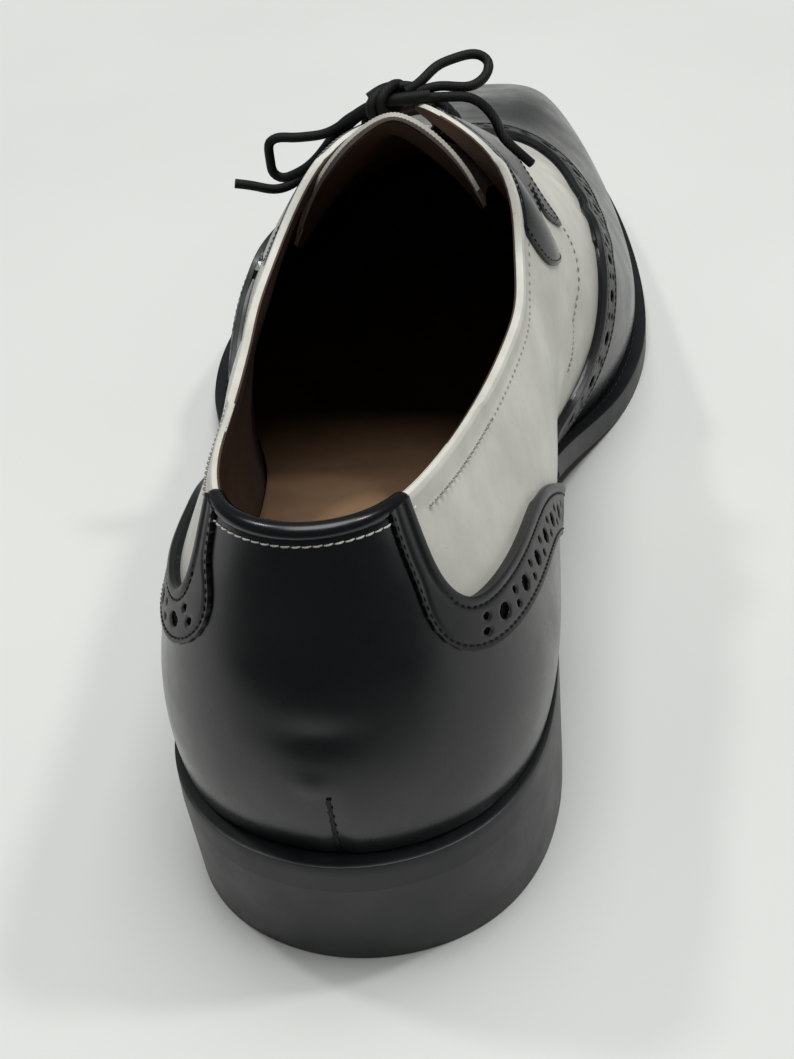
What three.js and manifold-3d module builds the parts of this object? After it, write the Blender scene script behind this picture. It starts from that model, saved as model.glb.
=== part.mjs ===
// Spectator shoe, left foot: a welted, laced wing tip in white and black leather
// Millimetres, +Z up, toe towards +Y, inner (medial) side towards +X
// Origin: middle of the heel, on the floor

import * as THREE from 'three';
import { mergeVertices } from 'three/addons/utils/BufferGeometryUtils.js';
import Module from 'manifold-3d';

const wasm = await Module();
wasm.setup();

// Driving dimensions of the last and the bottom
const SOLE_LENGTH = 306;
const BALL_WIDTH = 108;
const HEEL_REACH = 39;
const HEEL_HEIGHT = 21.6;
const INSTEP_HEIGHT = 99;
const COLLAR_WIDTH = 49.6;
const TOE_SPRING = 10;
const BREAST_AT = 36;
const TREAD_START = 140;
const TREAD_END = 160;

// Thicknesses, clearances and small widths
const GAP = 0.3;
const TOP_PIECE = 5.9;
const OUTSOLE = 3.6;
const WELT = 2.1;
const WELT_SHELF = 5.5;
const WELT_RING = 15;
const INSOLE = 2.6;
const WALL = 2;
const COLLAR_ROLL = 1.4;
const OVERLAY = 1.1;
const BAND = 0.8;
const EDGE_STEP = 0.6;
const HEEL_TAPER = 3.2;
const BREAST_HOLLOW = 3;
const BREAST_LEAN = 3;
const ROLL_DEPTH = 4.5;
const ROLL_END = -8;
const ROLL_FADE = 14;
const TONGUE_DEPTH = 2.9;
const TONGUE = 1.8;
const LACE = 2;
const BAND_WIDTH = 9.5;
const EYELET = 3.2;

// Mesh resolution
const COLUMNS = 44;
const ROWS = 13;
const SOLE_COLUMNS = 40;
const HEEL_COLUMNS = 12;
const BREAST_POINTS = 6;
const COUNTER_COLUMNS = 24;
const COUNTER_END = 6.4;
const WING_FROM = 4.4;
const WING_COLUMNS = 34;
const TAIL_START = 12;
const OVERLAY_START = 0.02;
const FACING_FROM = 5.9;
const FACING_START = 0.45;
const CORD_STEP = 2;
const EYELET_SIDES = 10;
const CORD_SIDES = 8;
const DRILL_LENGTH = 12;

// Heights of the layers over the underside of the outsole
const WELT_BASE = OUTSOLE + GAP;
const WELT_TOP = WELT_BASE + WELT;
const FEATHER = WELT_TOP + GAP;

// Edge of the sole, from heel back to toe tip
// along: share of the sole length; inner, outer: share of the ball width from the centre line
const OUTLINE = [
  { place: 'heel back', along: 0, inner: 0, outer: 0 },
  { place: 'heel corner', along: 0.02, inner: 0.181, outer: 0.181 },
  { place: 'heel quarter', along: 0.068, inner: 0.288, outer: 0.288 },
  { place: 'heel side', along: 0.134, inner: 0.322, outer: 0.322 },
  { place: 'heel front', along: 0.219, inner: 0.307, outer: 0.317 },
  { place: 'waist back', along: 0.31, inner: 0.268, outer: 0.33 },
  { place: 'waist', along: 0.389, inner: 0.248, outer: 0.38 },
  { place: 'waist front', along: 0.472, inner: 0.287, outer: 0.478 },
  { place: 'ball back', along: 0.552, inner: 0.372, outer: 0.558 },
  { place: 'ball', along: 0.634, inner: 0.419, outer: 0.577 },
  { place: 'ball front', along: 0.722, inner: 0.406, outer: 0.53 },
  { place: 'toe side', along: 0.818, inner: 0.348, outer: 0.424 },
  { place: 'toe shoulder', along: 0.908, inner: 0.254, outer: 0.285 },
  { place: 'toe corner', along: 0.975, inner: 0.137, outer: 0.146 },
  { place: 'toe tip', along: 1, inner: 0, outer: 0 },
];

// Side wall of the upper at the same places
// shelf: how far the feather line lies inside the sole edge, share of the welt shelf
// bulge: how far the wall leans out over it, share of the ball width, inner and outer side
// rise: how high the bulge sits, share of the wall's height
const WALLS = [
  { shelf: 0.78, bulgeIn: 0.05, bulgeOut: 0.05, rise: 0.36 },
  { shelf: 0.74, bulgeIn: 0.05, bulgeOut: 0.05, rise: 0.36 },
  { shelf: 0.55, bulgeIn: 0.048, bulgeOut: 0.038, rise: 0.36 },
  { shelf: 0.42, bulgeIn: 0.052, bulgeOut: 0.038, rise: 0.36 },
  { shelf: 0.45, bulgeIn: 0.057, bulgeOut: 0.036, rise: 0.36 },
  { shelf: 0.5, bulgeIn: 0.078, bulgeOut: 0.034, rise: 0.36 },
  { shelf: 0.6, bulgeIn: 0.1, bulgeOut: 0.02, rise: 0.37 },
  { shelf: 0.8, bulgeIn: 0.11, bulgeOut: -0.01, rise: 0.35 },
  { shelf: 0.95, bulgeIn: 0.09, bulgeOut: -0.014, rise: 0.31 },
  { shelf: 1, bulgeIn: 0.085, bulgeOut: 0.005, rise: 0.31 },
  { shelf: 1, bulgeIn: 0.06, bulgeOut: 0.012, rise: 0.36 },
  { shelf: 1, bulgeIn: 0.038, bulgeOut: 0.018, rise: 0.45 },
  { shelf: 1, bulgeIn: 0.024, bulgeOut: 0.024, rise: 0.56 },
  { shelf: 1, bulgeIn: 0.016, bulgeOut: 0.016, rise: 0.6 },
  { shelf: 1, bulgeIn: 0.014, bulgeOut: 0.014, rise: 0.62 },
];

// Shoulder of the last under the crest at the same places
// inner, outer: how far the top runs level on each side, share of the ball width
// drop: where the shoulder ends, share of the wall's height; pitch: fall of the ridge to the toe
const SHOULDERS = [
  { inner: 0.028, outer: 0.028, drop: 0.34, pitch: 0 },
  { inner: 0.04, outer: 0.04, drop: 0.34, pitch: 0 },
  { inner: 0.072, outer: 0.072, drop: 0.34, pitch: 0 },
  { inner: 0.085, outer: 0.085, drop: 0.34, pitch: 0 },
  { inner: 0.07, outer: 0.075, drop: 0.34, pitch: 0 },
  { inner: 0.065, outer: 0.08, drop: 0.34, pitch: 0 },
  { inner: 0.085, outer: 0.09, drop: 0.33, pitch: -0.2 },
  { inner: 0.17, outer: 0.13, drop: 0.2, pitch: -0.5 },
  { inner: 0.22, outer: 0.13, drop: 0.07, pitch: -0.62 },
  { inner: 0.21, outer: 0.16, drop: 0.02, pitch: -0.58 },
  { inner: 0.19, outer: 0.17, drop: 0, pitch: -0.48 },
  { inner: 0.17, outer: 0.17, drop: 0, pitch: -0.38 },
  { inner: 0.18, outer: 0.2, drop: 0, pitch: -0.33 },
  { inner: 0.2, outer: 0.2, drop: 0, pitch: -0.36 },
  { inner: 0.2, outer: 0.2, drop: 0, pitch: -0.4 },
];

// Top line, facing edges and ridge
// at: place, counted in rows of the outline; along: share of the sole length
// middle: centre line, share of the ball width; half: half opening, share of the collar width
// height: share of the instep height; fall: how much lower the outer edge lies, same share
const CREST = [
  { at: 0, along: 0.034, middle: 0, half: 0, height: 0.926, fall: 0 },
  { at: 1, along: 0.0425, middle: 0, half: 0.171, height: 0.923, fall: 0 },
  { at: 2, along: 0.07, middle: 0, half: 0.292, height: 0.906, fall: 0 },
  { at: 3, along: 0.1275, middle: 0, half: 0.379, height: 0.865, fall: 0 },
  { at: 4, along: 0.209, middle: 0.001, half: 0.443, height: 0.808, fall: 0 },
  { at: 5, along: 0.297, middle: 0.002, half: 0.5, height: 0.784, fall: 0 },
  { at: 6, along: 0.366, middle: 0, half: 0.48, height: 0.823, fall: 0.012 },
  { at: 6.7, along: 0.409, middle: 0.001, half: 0.361, height: 0.9535, fall: 0.043 },
  { at: 7.15, along: 0.434, middle: -0.022, half: 0.181, height: 1.007, fall: 0.05 },
  { at: 7.6, along: 0.454, middle: -0.0167, half: 0.078, height: 0.988, fall: 0.032 },
  { at: 8.2, along: 0.497, middle: -0.024, half: 0.09, height: 0.9, fall: 0.022 },
  { at: 8.8, along: 0.543, middle: -0.027, half: 0.065, height: 0.81, fall: 0.01 },
  { at: 9.2, along: 0.572, middle: -0.028, half: 0, height: 0.757, fall: 0 },
  { at: 10, along: 0.624, middle: -0.028, half: 0, height: 0.66, fall: 0 },
  { at: 11, along: 0.7, middle: -0.024, half: 0, height: 0.548, fall: 0 },
  { at: 12, along: 0.775, middle: -0.014, half: 0, height: 0.474, fall: 0 },
  { at: 13, along: 0.836, middle: -0.004, half: 0, height: 0.424, fall: 0 },
  { at: 14, along: 0.857, middle: 0, half: 0, height: 0.405, fall: 0 },
];
const THROAT_BASE = 9.2;

// Middle line of the tongue, in the same columns
const TONGUE_CREST = [
  { at: 6.7, along: 0.405, height: 1.065 },
  { at: 7.15, along: 0.428, height: 1.015 },
  { at: 7.6, along: 0.459, height: 0.978 },
  { at: 8.2, along: 0.5, height: 0.89 },
  { at: 8.8, along: 0.543, height: 0.815 },
  { at: 9.2, along: 0.572, height: 0.757 },
  { at: 10, along: 0.624, height: 0.66 },
];
// Row share where the tongue's sides end, and its rounder arch behind the facings
const TONGUE_EDGE = { inner: 0.7, outer: 0.6 };
const TONGUE_REACH = 22;
const TONGUE_FALL = 8;
const TONGUE_TUCK = 7.2;
const TONGUE_TUCK_SPAN = 0.5;

// Upper edge of the counter in side view, from the collar forwards and down to the feather
// along: share of the sole length; height: share of the instep height
// bandAlong, bandHeight: the pinked lower edge of the band beside it
const COUNTER_EDGE = [
  { along: 0.072, height: 0.97, bandAlong: 0.053, bandHeight: 0.97 },
  { along: 0.067, height: 0.889, bandAlong: 0.047, bandHeight: 0.879 },
  { along: 0.0621, height: 0.818, bandAlong: 0.0438, bandHeight: 0.808 },
  { along: 0.0608, height: 0.7525, bandAlong: 0.04, bandHeight: 0.737 },
  { along: 0.067, height: 0.707, bandAlong: 0.0405, bandHeight: 0.672 },
  { along: 0.085, height: 0.683, bandAlong: 0.0572, bandHeight: 0.614 },
  { along: 0.121, height: 0.66, bandAlong: 0.1013, bandHeight: 0.576 },
  { along: 0.16, height: 0.633, bandAlong: 0.147, bandHeight: 0.542 },
  { along: 0.193, height: 0.606, bandAlong: 0.183, bandHeight: 0.511 },
  { along: 0.2255, height: 0.561, bandAlong: 0.2124, bandHeight: 0.468 },
  { along: 0.258, height: 0.49, bandAlong: 0.24, bandHeight: 0.407 },
  { along: 0.291, height: 0.404, bandAlong: 0.2696, bandHeight: 0.328 },
  { along: 0.3235, height: 0.313, bandAlong: 0.2974, bandHeight: 0.242 },
  { along: 0.35, height: 0.2, bandAlong: 0.3203, bandHeight: 0.14 },
];

// Rear edge of the wing cap over the toe in plan, from its peak outwards, for each side
// across: share of the ball width; along: share of the sole length
// bandAcross, bandAlong: the pinked front edge of the band beside it
const WING_TOP = {
  inner: [
    { across: -0.028, along: 0.622, bandAcross: -0.028, bandAlong: 0.686 },
    { across: 0.005, along: 0.65, bandAcross: 0.014, bandAlong: 0.7026 },
    { across: 0.042, along: 0.68, bandAcross: 0.0556, bandAlong: 0.7255 },
    { across: 0.088, along: 0.704, bandAcross: 0.102, bandAlong: 0.742 },
    { across: 0.139, along: 0.714, bandAcross: 0.148, bandAlong: 0.7467 },
    { across: 0.19, along: 0.704, bandAcross: 0.222, bandAlong: 0.737 },
    { across: 0.231, along: 0.676, bandAcross: 0.287, bandAlong: 0.7157 },
    { across: 0.264, along: 0.6405, bandAcross: 0.333, bandAlong: 0.6895 },
    { across: 0.292, along: 0.601, bandAcross: 0.38, bandAlong: 0.65 },
    { across: 0.319, along: 0.5556, bandAcross: 0.417, bandAlong: 0.6 },
  ],
  outer: [
    { across: -0.028, along: 0.622, bandAcross: -0.028, bandAlong: 0.686 },
    { across: -0.06, along: 0.65, bandAcross: -0.069, bandAlong: 0.7026 },
    { across: -0.097, along: 0.68, bandAcross: -0.111, bandAlong: 0.7255 },
    { across: -0.148, along: 0.7026, bandAcross: -0.16, bandAlong: 0.742 },
    { across: -0.213, along: 0.711, bandAcross: -0.222, bandAlong: 0.7467 },
    { across: -0.273, along: 0.699, bandAcross: -0.305, bandAlong: 0.737 },
    { across: -0.324, along: 0.67, bandAcross: -0.375, bandAlong: 0.71 },
    { across: -0.366, along: 0.634, bandAcross: -0.43, bandAlong: 0.68 },
    { across: -0.398, along: 0.598, bandAcross: -0.46, bandAlong: 0.64 },
    { across: -0.421, along: 0.565, bandAcross: -0.5, bandAlong: 0.6 },
  ],
};

// Upper edge of the wing's tails in side view, from the ball back to the counter
const WING_TAIL = {
  inner: [
    { along: 0.6, height: 0.5 },
    { along: 0.58, height: 0.498 },
    { along: 0.562, height: 0.488 },
    { along: 0.5425, height: 0.444 },
    { along: 0.526, height: 0.374 },
    { along: 0.51, height: 0.303 },
    { along: 0.493, height: 0.258 },
    { along: 0.474, height: 0.23 },
    { along: 0.448, height: 0.232 },
    { along: 0.4216, height: 0.258 },
    { along: 0.389, height: 0.298 },
    { along: 0.356, height: 0.338 },
    { along: 0.31, height: 0.384 },
  ],
  outer: [
    { along: 0.61, height: 0.389 },
    { along: 0.5915, height: 0.389 },
    { along: 0.565, height: 0.379 },
    { along: 0.5425, height: 0.343 },
    { along: 0.5196, height: 0.288 },
    { along: 0.497, height: 0.2505 },
    { along: 0.467, height: 0.237 },
    { along: 0.438, height: 0.2525 },
    { along: 0.405, height: 0.288 },
    { along: 0.3725, height: 0.323 },
    { along: 0.31, height: 0.384 },
  ],
};

// Lower edge of the facings in side view, from the throat base back to the rear prong
const FACING_EDGE = [
  { along: 0.572, height: 0.7 },
  { along: 0.546, height: 0.757 },
  { along: 0.523, height: 0.78 },
  { along: 0.503, height: 0.788 },
  { along: 0.491, height: 0.779 },
  { along: 0.485, height: 0.739 },
  { along: 0.4885, height: 0.687 },
  { along: 0.4915, height: 0.642 },
  { along: 0.479, height: 0.672 },
  { along: 0.47, height: 0.727 },
  { along: 0.4716, height: 0.768 },
  { along: 0.464, height: 0.722 },
  { along: 0.4526, height: 0.689 },
  { along: 0.428, height: 0.682 },
  { along: 0.405, height: 0.707 },
  { along: 0.3856, height: 0.74 },
  { along: 0.379, height: 0.778 },
  { along: 0.377, height: 0.85 },
];
const FACING_MARGIN = 0.965;

// Rows of eyelets: place along the facing and row share of the upper's surface
const EYELETS = [
  { at: 7.75, v: 0.92 },
  { at: 8.15, v: 0.92 },
  { at: 8.55, v: 0.92 },
  { at: 8.92, v: 0.915 },
];

// Natural or level-ended cubic spline through one column of a table
function spline(rows, column, level = [false, false]) {
  const last = rows.length - 1;
  const x = rows.map((row, i) => (row.at === undefined ? i : row.at));
  const y = rows.map((row) => row[column]);
  const lower = new Array(last + 1).fill(0);
  const diagonal = new Array(last + 1).fill(1);
  const upper = new Array(last + 1).fill(0);
  const right = new Array(last + 1).fill(0);
  for (let i = 1; i < last; i++) {
    lower[i] = x[i] - x[i - 1];
    upper[i] = x[i + 1] - x[i];
    diagonal[i] = 2 * (x[i + 1] - x[i - 1]);
    right[i] = 6 * ((y[i + 1] - y[i]) / upper[i] - (y[i] - y[i - 1]) / lower[i]);
  }
  if (level[0]) {
    const span = x[1] - x[0];
    diagonal[0] = 2 * span;
    upper[0] = span;
    right[0] = 6 * (y[1] - y[0]) / span;
  }
  if (level[1]) {
    const span = x[last] - x[last - 1];
    diagonal[last] = 2 * span;
    lower[last] = span;
    right[last] = -6 * (y[last] - y[last - 1]) / span;
  }
  for (let i = 1; i <= last; i++) {
    const factor = lower[i] / diagonal[i - 1];
    diagonal[i] -= factor * upper[i - 1];
    right[i] -= factor * right[i - 1];
  }
  const bend = new Array(last + 1).fill(0);
  for (let i = last; i >= 0; i--) {
    const next = i < last ? upper[i] * bend[i + 1] : 0;
    bend[i] = (right[i] - next) / diagonal[i];
  }
  return (at) => {
    const clamped = Math.min(Math.max(at, x[0]), x[last]);
    let i = 0;
    while (i < last - 1 && clamped > x[i + 1]) i++;
    const span = x[i + 1] - x[i];
    const b = (clamped - x[i]) / span;
    const a = 1 - b;
    const cubic = ((a ** 3 - a) * bend[i] + (b ** 3 - b) * bend[i + 1]) * span * span / 6;
    return a * y[i] + b * y[i + 1] + cubic;
  };
}

// Columns of the tables as smooth functions of the place
const LAST_PLACE = OUTLINE.length - 1;
const BOTH = [true, true];
const soleAlong = spline(OUTLINE, 'along', BOTH);
const soleSide = { inner: spline(OUTLINE, 'inner'), outer: spline(OUTLINE, 'outer') };
const shelfAt = spline(WALLS, 'shelf', BOTH);
const riseAt = spline(WALLS, 'rise', BOTH);
const dropAt = spline(SHOULDERS, 'drop', BOTH);
const pitchAt = spline(SHOULDERS, 'pitch', BOTH);
const bulgeAt = { inner: spline(WALLS, 'bulgeIn', BOTH), outer: spline(WALLS, 'bulgeOut', BOTH) };
const shoulderAt = { inner: spline(SHOULDERS, 'inner', BOTH), outer: spline(SHOULDERS, 'outer', BOTH) };
const crestAlong = spline(CREST, 'along', BOTH);
const crestMiddle = spline(CREST, 'middle', BOTH);
const crestHeight = spline(CREST, 'height', BOTH);
const slotRows = CREST.filter((row) => row.at <= THROAT_BASE);
const crestFall = spline(slotRows, 'fall');
const crestHalf = spline(slotRows, 'half');
const tongueAlong = spline(TONGUE_CREST, 'along');
const tongueHeight = spline(TONGUE_CREST, 'height');

const clamp01 = (value) => Math.min(Math.max(value, 0), 1);
const alongToY = (share) => share * SOLE_LENGTH - HEEL_REACH;
const signOf = (side) => (side === 'inner' ? 1 : -1);

// Height of the outsole's underside: heel seat, arch, flat tread, toe spring
function underside(y) {
  const arch = clamp01((y - BREAST_AT) / (TREAD_START - BREAST_AT));
  const spring = clamp01((y - TREAD_END) / (SOLE_LENGTH - HEEL_REACH - TREAD_END));
  return HEEL_HEIGHT * (0.5 + 0.5 * Math.cos(Math.PI * arch)) + TOE_SPRING * spring ** 1.8;
}

// Point on the sole edge in plan, moved inwards by an inset
function edgePoint(at, side, inset = 0) {
  const step = 0.02;
  const plan = (place) => new THREE.Vector2(
    signOf(side) * soleSide[side](place) * BALL_WIDTH,
    alongToY(soleAlong(place)),
  );
  const before = plan(Math.max(at - step, 0));
  const after = plan(Math.min(at + step, LAST_PLACE));
  const tangent = after.sub(before);
  if (at <= 0 || at >= LAST_PLACE) tangent.y = 0;
  tangent.normalize();
  const outward = new THREE.Vector2(tangent.y, -tangent.x).multiplyScalar(signOf(side));
  const point = plan(at).addScaledVector(outward, -inset);
  return { point, outward };
}

// Meridian of the last at one place, from the feather line up to the crest
function meridian(at, side) {
  const { point, outward } = edgePoint(at, side, shelfAt(at) * WELT_SHELF);
  const base = new THREE.Vector3(point.x, point.y, underside(point.y) + FEATHER);
  const open = at < THROAT_BASE;
  const half = open ? Math.max(crestHalf(at), 0) * COLLAR_WIDTH : 0;
  const fall = open && side === 'outer' ? crestFall(at) : 0;
  const crest = new THREE.Vector3(
    crestMiddle(at) * BALL_WIDTH + signOf(side) * half,
    alongToY(crestAlong(at)),
    (crestHeight(at) - fall) * INSTEP_HEIGHT,
  );
  const height = crest.z - base.z;
  const out = new THREE.Vector3(outward.x, outward.y, 0);
  const belly = base.clone().addScaledVector(out, bulgeAt[side](at) * BALL_WIDTH);
  belly.z += riseAt(at) * height;
  const reach = shoulderAt[side](at) * BALL_WIDTH;
  const shoulder = crest.clone().addScaledVector(out, reach);
  shoulder.z += pitchAt(at) * outward.y * reach - dropAt(at) * height;
  return [base, belly, shoulder, crest];
}

// Outer surface of the upper: v runs from the feather line (0) up to the crest (1)
function upperPoint(at, side, v) {
  return new THREE.CubicBezierCurve3(...meridian(at, side)).getPoint(v);
}

// Guide surface of the tongue: the same meridians, closed over the throat in a rounder arch
function tonguePoint(at, side, share) {
  const [base, belly, shoulder] = meridian(at, side);
  const crest = new THREE.Vector3(
    crestMiddle(at) * BALL_WIDTH,
    alongToY(tongueAlong(at)),
    tongueHeight(at) * INSTEP_HEIGHT,
  );
  const arch = crest.clone().setZ(crest.z - TONGUE_FALL);
  arch.x += signOf(side) * TONGUE_REACH;
  shoulder.lerp(arch, clamp01((TONGUE_TUCK - at) / TONGUE_TUCK_SPAN));
  const v = 1 - (1 - TONGUE_EDGE[side]) * (1 - share);
  return new THREE.CubicBezierCurve3(base, belly, shoulder, crest).getPoint(v);
}

// Closed mesh from a list of points and a list of triangles, with equal points merged
function surface(points, faces) {
  const geometry = new THREE.BufferGeometry();
  const positions = points.flatMap((point) => [point.x, point.y, point.z]);
  geometry.setAttribute('position', new THREE.Float32BufferAttribute(positions, 3));
  geometry.setIndex(faces.flat());
  const merged = mergeVertices(geometry, 1e-3);
  const index = Array.from(merged.index.array);
  const kept = [];
  for (let i = 0; i < index.length; i += 3) {
    const [a, b, c] = index.slice(i, i + 3);
    if (a !== b && b !== c && c !== a) kept.push(a, b, c);
  }
  merged.setIndex(kept);
  return merged;
}

// A surface of the last as an open mesh, over a span of places and of row shares
function lastSheet({
  pointAt = upperPoint,
  sides = ['inner', 'outer'],
  from = 0,
  to = LAST_PLACE,
  v0 = 0,
  v1 = 1,
  columns = COLUMNS,
  rows = ROWS,
} = {}) {
  const points = [];
  const faces = [];
  for (const side of sides) {
    const start = points.length;
    for (let j = 0; j <= columns; j++) {
      const at = from + (to - from) * j / columns;
      for (let i = 0; i <= rows; i++) points.push(pointAt(at, side, v0 + (v1 - v0) * i / rows));
    }
    for (let j = 0; j < columns; j++) {
      for (let i = 0; i < rows; i++) {
        const a = start + j * (rows + 1) + i;
        const b = a + rows + 1;
        if (side === 'inner') faces.push([a, b, b + 1], [a, b + 1, a + 1]);
        else faces.push([a, b + 1, b], [a, a + 1, b + 1]);
      }
    }
  }
  return surface(points, faces);
}

// Closed solid from an open sheet, between two offsets along its normals
// Each offset is a number or a function of the sheet's point
function thicken(sheet, inside, outside) {
  sheet.computeVertexNormals();
  const position = sheet.getAttribute('position');
  const normal = sheet.getAttribute('normal');
  const index = Array.from(sheet.index.array);
  const count = position.count;
  const points = [];
  for (const offset of [outside, inside]) {
    for (let i = 0; i < count; i++) {
      const point = new THREE.Vector3().fromBufferAttribute(position, i);
      const direction = new THREE.Vector3().fromBufferAttribute(normal, i);
      const distance = typeof offset === 'function' ? offset(point) : offset;
      points.push(point.addScaledVector(direction, distance));
    }
  }
  const faces = [];
  const edges = new Map();
  for (let i = 0; i < index.length; i += 3) {
    const triangle = index.slice(i, i + 3);
    faces.push(triangle, triangle.map((vertex) => vertex + count).reverse());
    for (let k = 0; k < 3; k++) {
      const edge = [triangle[k], triangle[(k + 1) % 3]];
      edges.set(edge.join(), edge);
    }
  }
  for (const [a, b] of edges.values()) {
    if (!edges.has(`${b},${a}`)) faces.push([b, a, a + count], [b, a + count, b + count]);
  }
  return surface(points, faces);
}

// Solids and booleans
function toSolid(geometry) {
  const bare = geometry.clone();
  bare.deleteAttribute('normal');
  bare.deleteAttribute('uv');
  const merged = mergeVertices(bare, 1e-4);
  return new wasm.Manifold(new wasm.Mesh({
    numProp: 3,
    vertProperties: new Float32Array(merged.getAttribute('position').array),
    triVerts: new Uint32Array(merged.index.array),
  }));
}

function toGeometry(solid) {
  const mesh = solid.getMesh();
  const geometry = new THREE.BufferGeometry();
  geometry.setAttribute('position', new THREE.Float32BufferAttribute(mesh.vertProperties, 3));
  geometry.setIndex(Array.from(mesh.triVerts));
  return geometry;
}

// Prism through the whole width, from a side view outline of [y, z] points
function sidePrism(outline, fromX, toX) {
  const shape = new THREE.Shape(outline.map(([y, z]) => new THREE.Vector2(y, z)));
  const prism = new THREE.ExtrudeGeometry(shape, { depth: toX - fromX, bevelEnabled: false });
  prism.applyMatrix4(new THREE.Matrix4().set(0, 0, 1, fromX, 1, 0, 0, 0, 0, 1, 0, 0, 0, 0, 0, 1));
  return toSolid(prism);
}

// Prism through the whole height, from a top view outline of [x, y] points
function topPrism(outline, fromZ, toZ) {
  const shape = new THREE.Shape(outline.map(([x, y]) => new THREE.Vector2(x, y)));
  const prism = new THREE.ExtrudeGeometry(shape, { depth: toZ - fromZ, bevelEnabled: false });
  prism.translate(0, 0, fromZ);
  return toSolid(prism);
}

// Slab of the sole's outline between two heights over the underside
// insetAt: how far it stays inside the sole edge at each place
function soleSlab(insetAt, low, high) {
  const points = [];
  const faces = [];
  for (let j = 0; j <= SOLE_COLUMNS; j++) {
    const at = LAST_PLACE * j / SOLE_COLUMNS;
    for (const side of ['outer', 'inner']) {
      const { point } = edgePoint(at, side, insetAt(at));
      if (j === 0 || j === SOLE_COLUMNS) point.x = 0;
      const z = underside(point.y);
      for (const height of [low, high]) points.push(new THREE.Vector3(point.x, point.y, z + height));
    }
  }
  for (let j = 0; j < SOLE_COLUMNS; j++) {
    const a = 4 * j;
    const b = a + 4;
    faces.push([a, b, b + 2], [a, b + 2, a + 2]);
    faces.push([a + 1, b + 3, b + 1], [a + 1, a + 3, b + 3]);
    faces.push([a, b + 1, b], [a, a + 1, b + 1]);
    faces.push([a + 2, b + 2, b + 3], [a + 2, b + 3, a + 3]);
  }
  return surface(points, faces);
}

// Ring of the sole's outline with a given width
function soleRing(inset, width, low, high) {
  const points = [];
  const faces = [];
  const loop = [];
  for (let j = 0; j <= SOLE_COLUMNS; j++) loop.push([LAST_PLACE * j / SOLE_COLUMNS, 'inner']);
  for (let j = SOLE_COLUMNS - 1; j > 0; j--) loop.push([LAST_PLACE * j / SOLE_COLUMNS, 'outer']);
  for (const [at, side] of loop) {
    for (const distance of [inset, inset + width]) {
      const { point } = edgePoint(at, side, distance);
      const z = underside(point.y);
      for (const height of [low, high]) points.push(new THREE.Vector3(point.x, point.y, z + height));
    }
  }
  for (let j = 0; j < loop.length; j++) {
    const a = 4 * j;
    const b = 4 * ((j + 1) % loop.length);
    faces.push([a, b, b + 1], [a, b + 1, a + 1]);
    faces.push([a + 2, b + 3, b + 2], [a + 2, a + 3, b + 3]);
    faces.push([a + 1, b + 1, b + 3], [a + 1, b + 3, a + 3]);
    faces.push([a, b + 2, b], [a, a + 2, b + 2]);
  }
  return surface(points, faces);
}

// Named meshes with their finishes
const shoe = new THREE.Group();

const finishes = {
  whiteLeather: { color: 0xe4e2dc, roughness: 0.5, metalness: 0 },
  blackLeather: { color: 0x1b1c1e, roughness: 0.28, metalness: 0 },
  tanLeather: { color: 0x8d6e52, roughness: 0.7, metalness: 0 },
  edgeLeather: { color: 0x16171a, roughness: 0.42, metalness: 0 },
  rubber: { color: 0x17181a, roughness: 0.65, metalness: 0 },
  cord: { color: 0x101113, roughness: 0.85, metalness: 0 },
};

function addPiece(name, geometry, finish) {
  const mesh = new THREE.Mesh(geometry, new THREE.MeshStandardMaterial(finishes[finish]));
  mesh.name = name;
  shoe.add(mesh);
  return mesh;
}

// Place on the outline whose edge reaches a given y
function placeAt(y) {
  let low = 0;
  let high = LAST_PLACE;
  for (let i = 0; i < 30; i++) {
    const middle = (low + high) / 2;
    if (alongToY(soleAlong(middle)) < y) low = middle;
    else high = middle;
  }
  return (low + high) / 2;
}

// Block of the heel between two heights, its back sloping in towards the floor
function heelBlock(low, high) {
  const points = [];
  const faces = [];
  const last = placeAt(BREAST_AT);
  for (const z of [low, high]) {
    const depth = 1 - z / HEEL_HEIGHT;
    const lean = (outward) => EDGE_STEP + HEEL_TAPER * depth * clamp01(-outward.y);
    const loop = [];
    for (let j = 0; j <= HEEL_COLUMNS; j++) loop.push([last * (1 - j / HEEL_COLUMNS), 'outer']);
    for (let j = 1; j <= HEEL_COLUMNS; j++) loop.push([last * j / HEEL_COLUMNS, 'inner']);
    const ring = loop.map(([at, side]) => {
      const { outward } = edgePoint(at, side);
      return edgePoint(at, side, lean(outward)).point;
    });
    const corner = ring[ring.length - 1];
    const start = ring[0];
    for (let k = 1; k < BREAST_POINTS; k++) {
      const share = k / BREAST_POINTS;
      const point = corner.clone().lerp(start, share);
      point.y -= BREAST_HOLLOW * Math.sin(Math.PI * share);
      ring.push(point);
    }
    for (const point of ring) {
      const y = point.y - BREAST_LEAN * depth * clamp01(point.y / BREAST_AT);
      points.push(new THREE.Vector3(point.x, y, z));
    }
  }
  const count = points.length / 2;
  const middle = new THREE.Vector3(0, 0, 0);
  points.push(middle.clone().setZ(low), middle.clone().setZ(high));
  for (let i = 0; i < count; i++) {
    const next = (i + 1) % count;
    faces.push([i, next, count + next], [i, count + next, count + i]);
    faces.push([next, i, 2 * count]);
    faces.push([count + i, count + next, 2 * count + 1]);
  }
  return surface(points, faces);
}

// Side view and top view outlines in millimetres
const sidePoint = (row) => [alongToY(row.along), row.height * INSTEP_HEIGHT];
const topPoint = (row) => [row.across * BALL_WIDTH, alongToY(row.along)];
const FAR = 400;
const BEHIND = -2 * HEEL_REACH;

// Overlay of the upper's surface, cut from a layer between two heights over it by a cutter
function overlay(low, high, cutter, span = {}) {
  return toGeometry(toSolid(thicken(lastSheet(span), low, high)).intersect(cutter));
}

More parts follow.
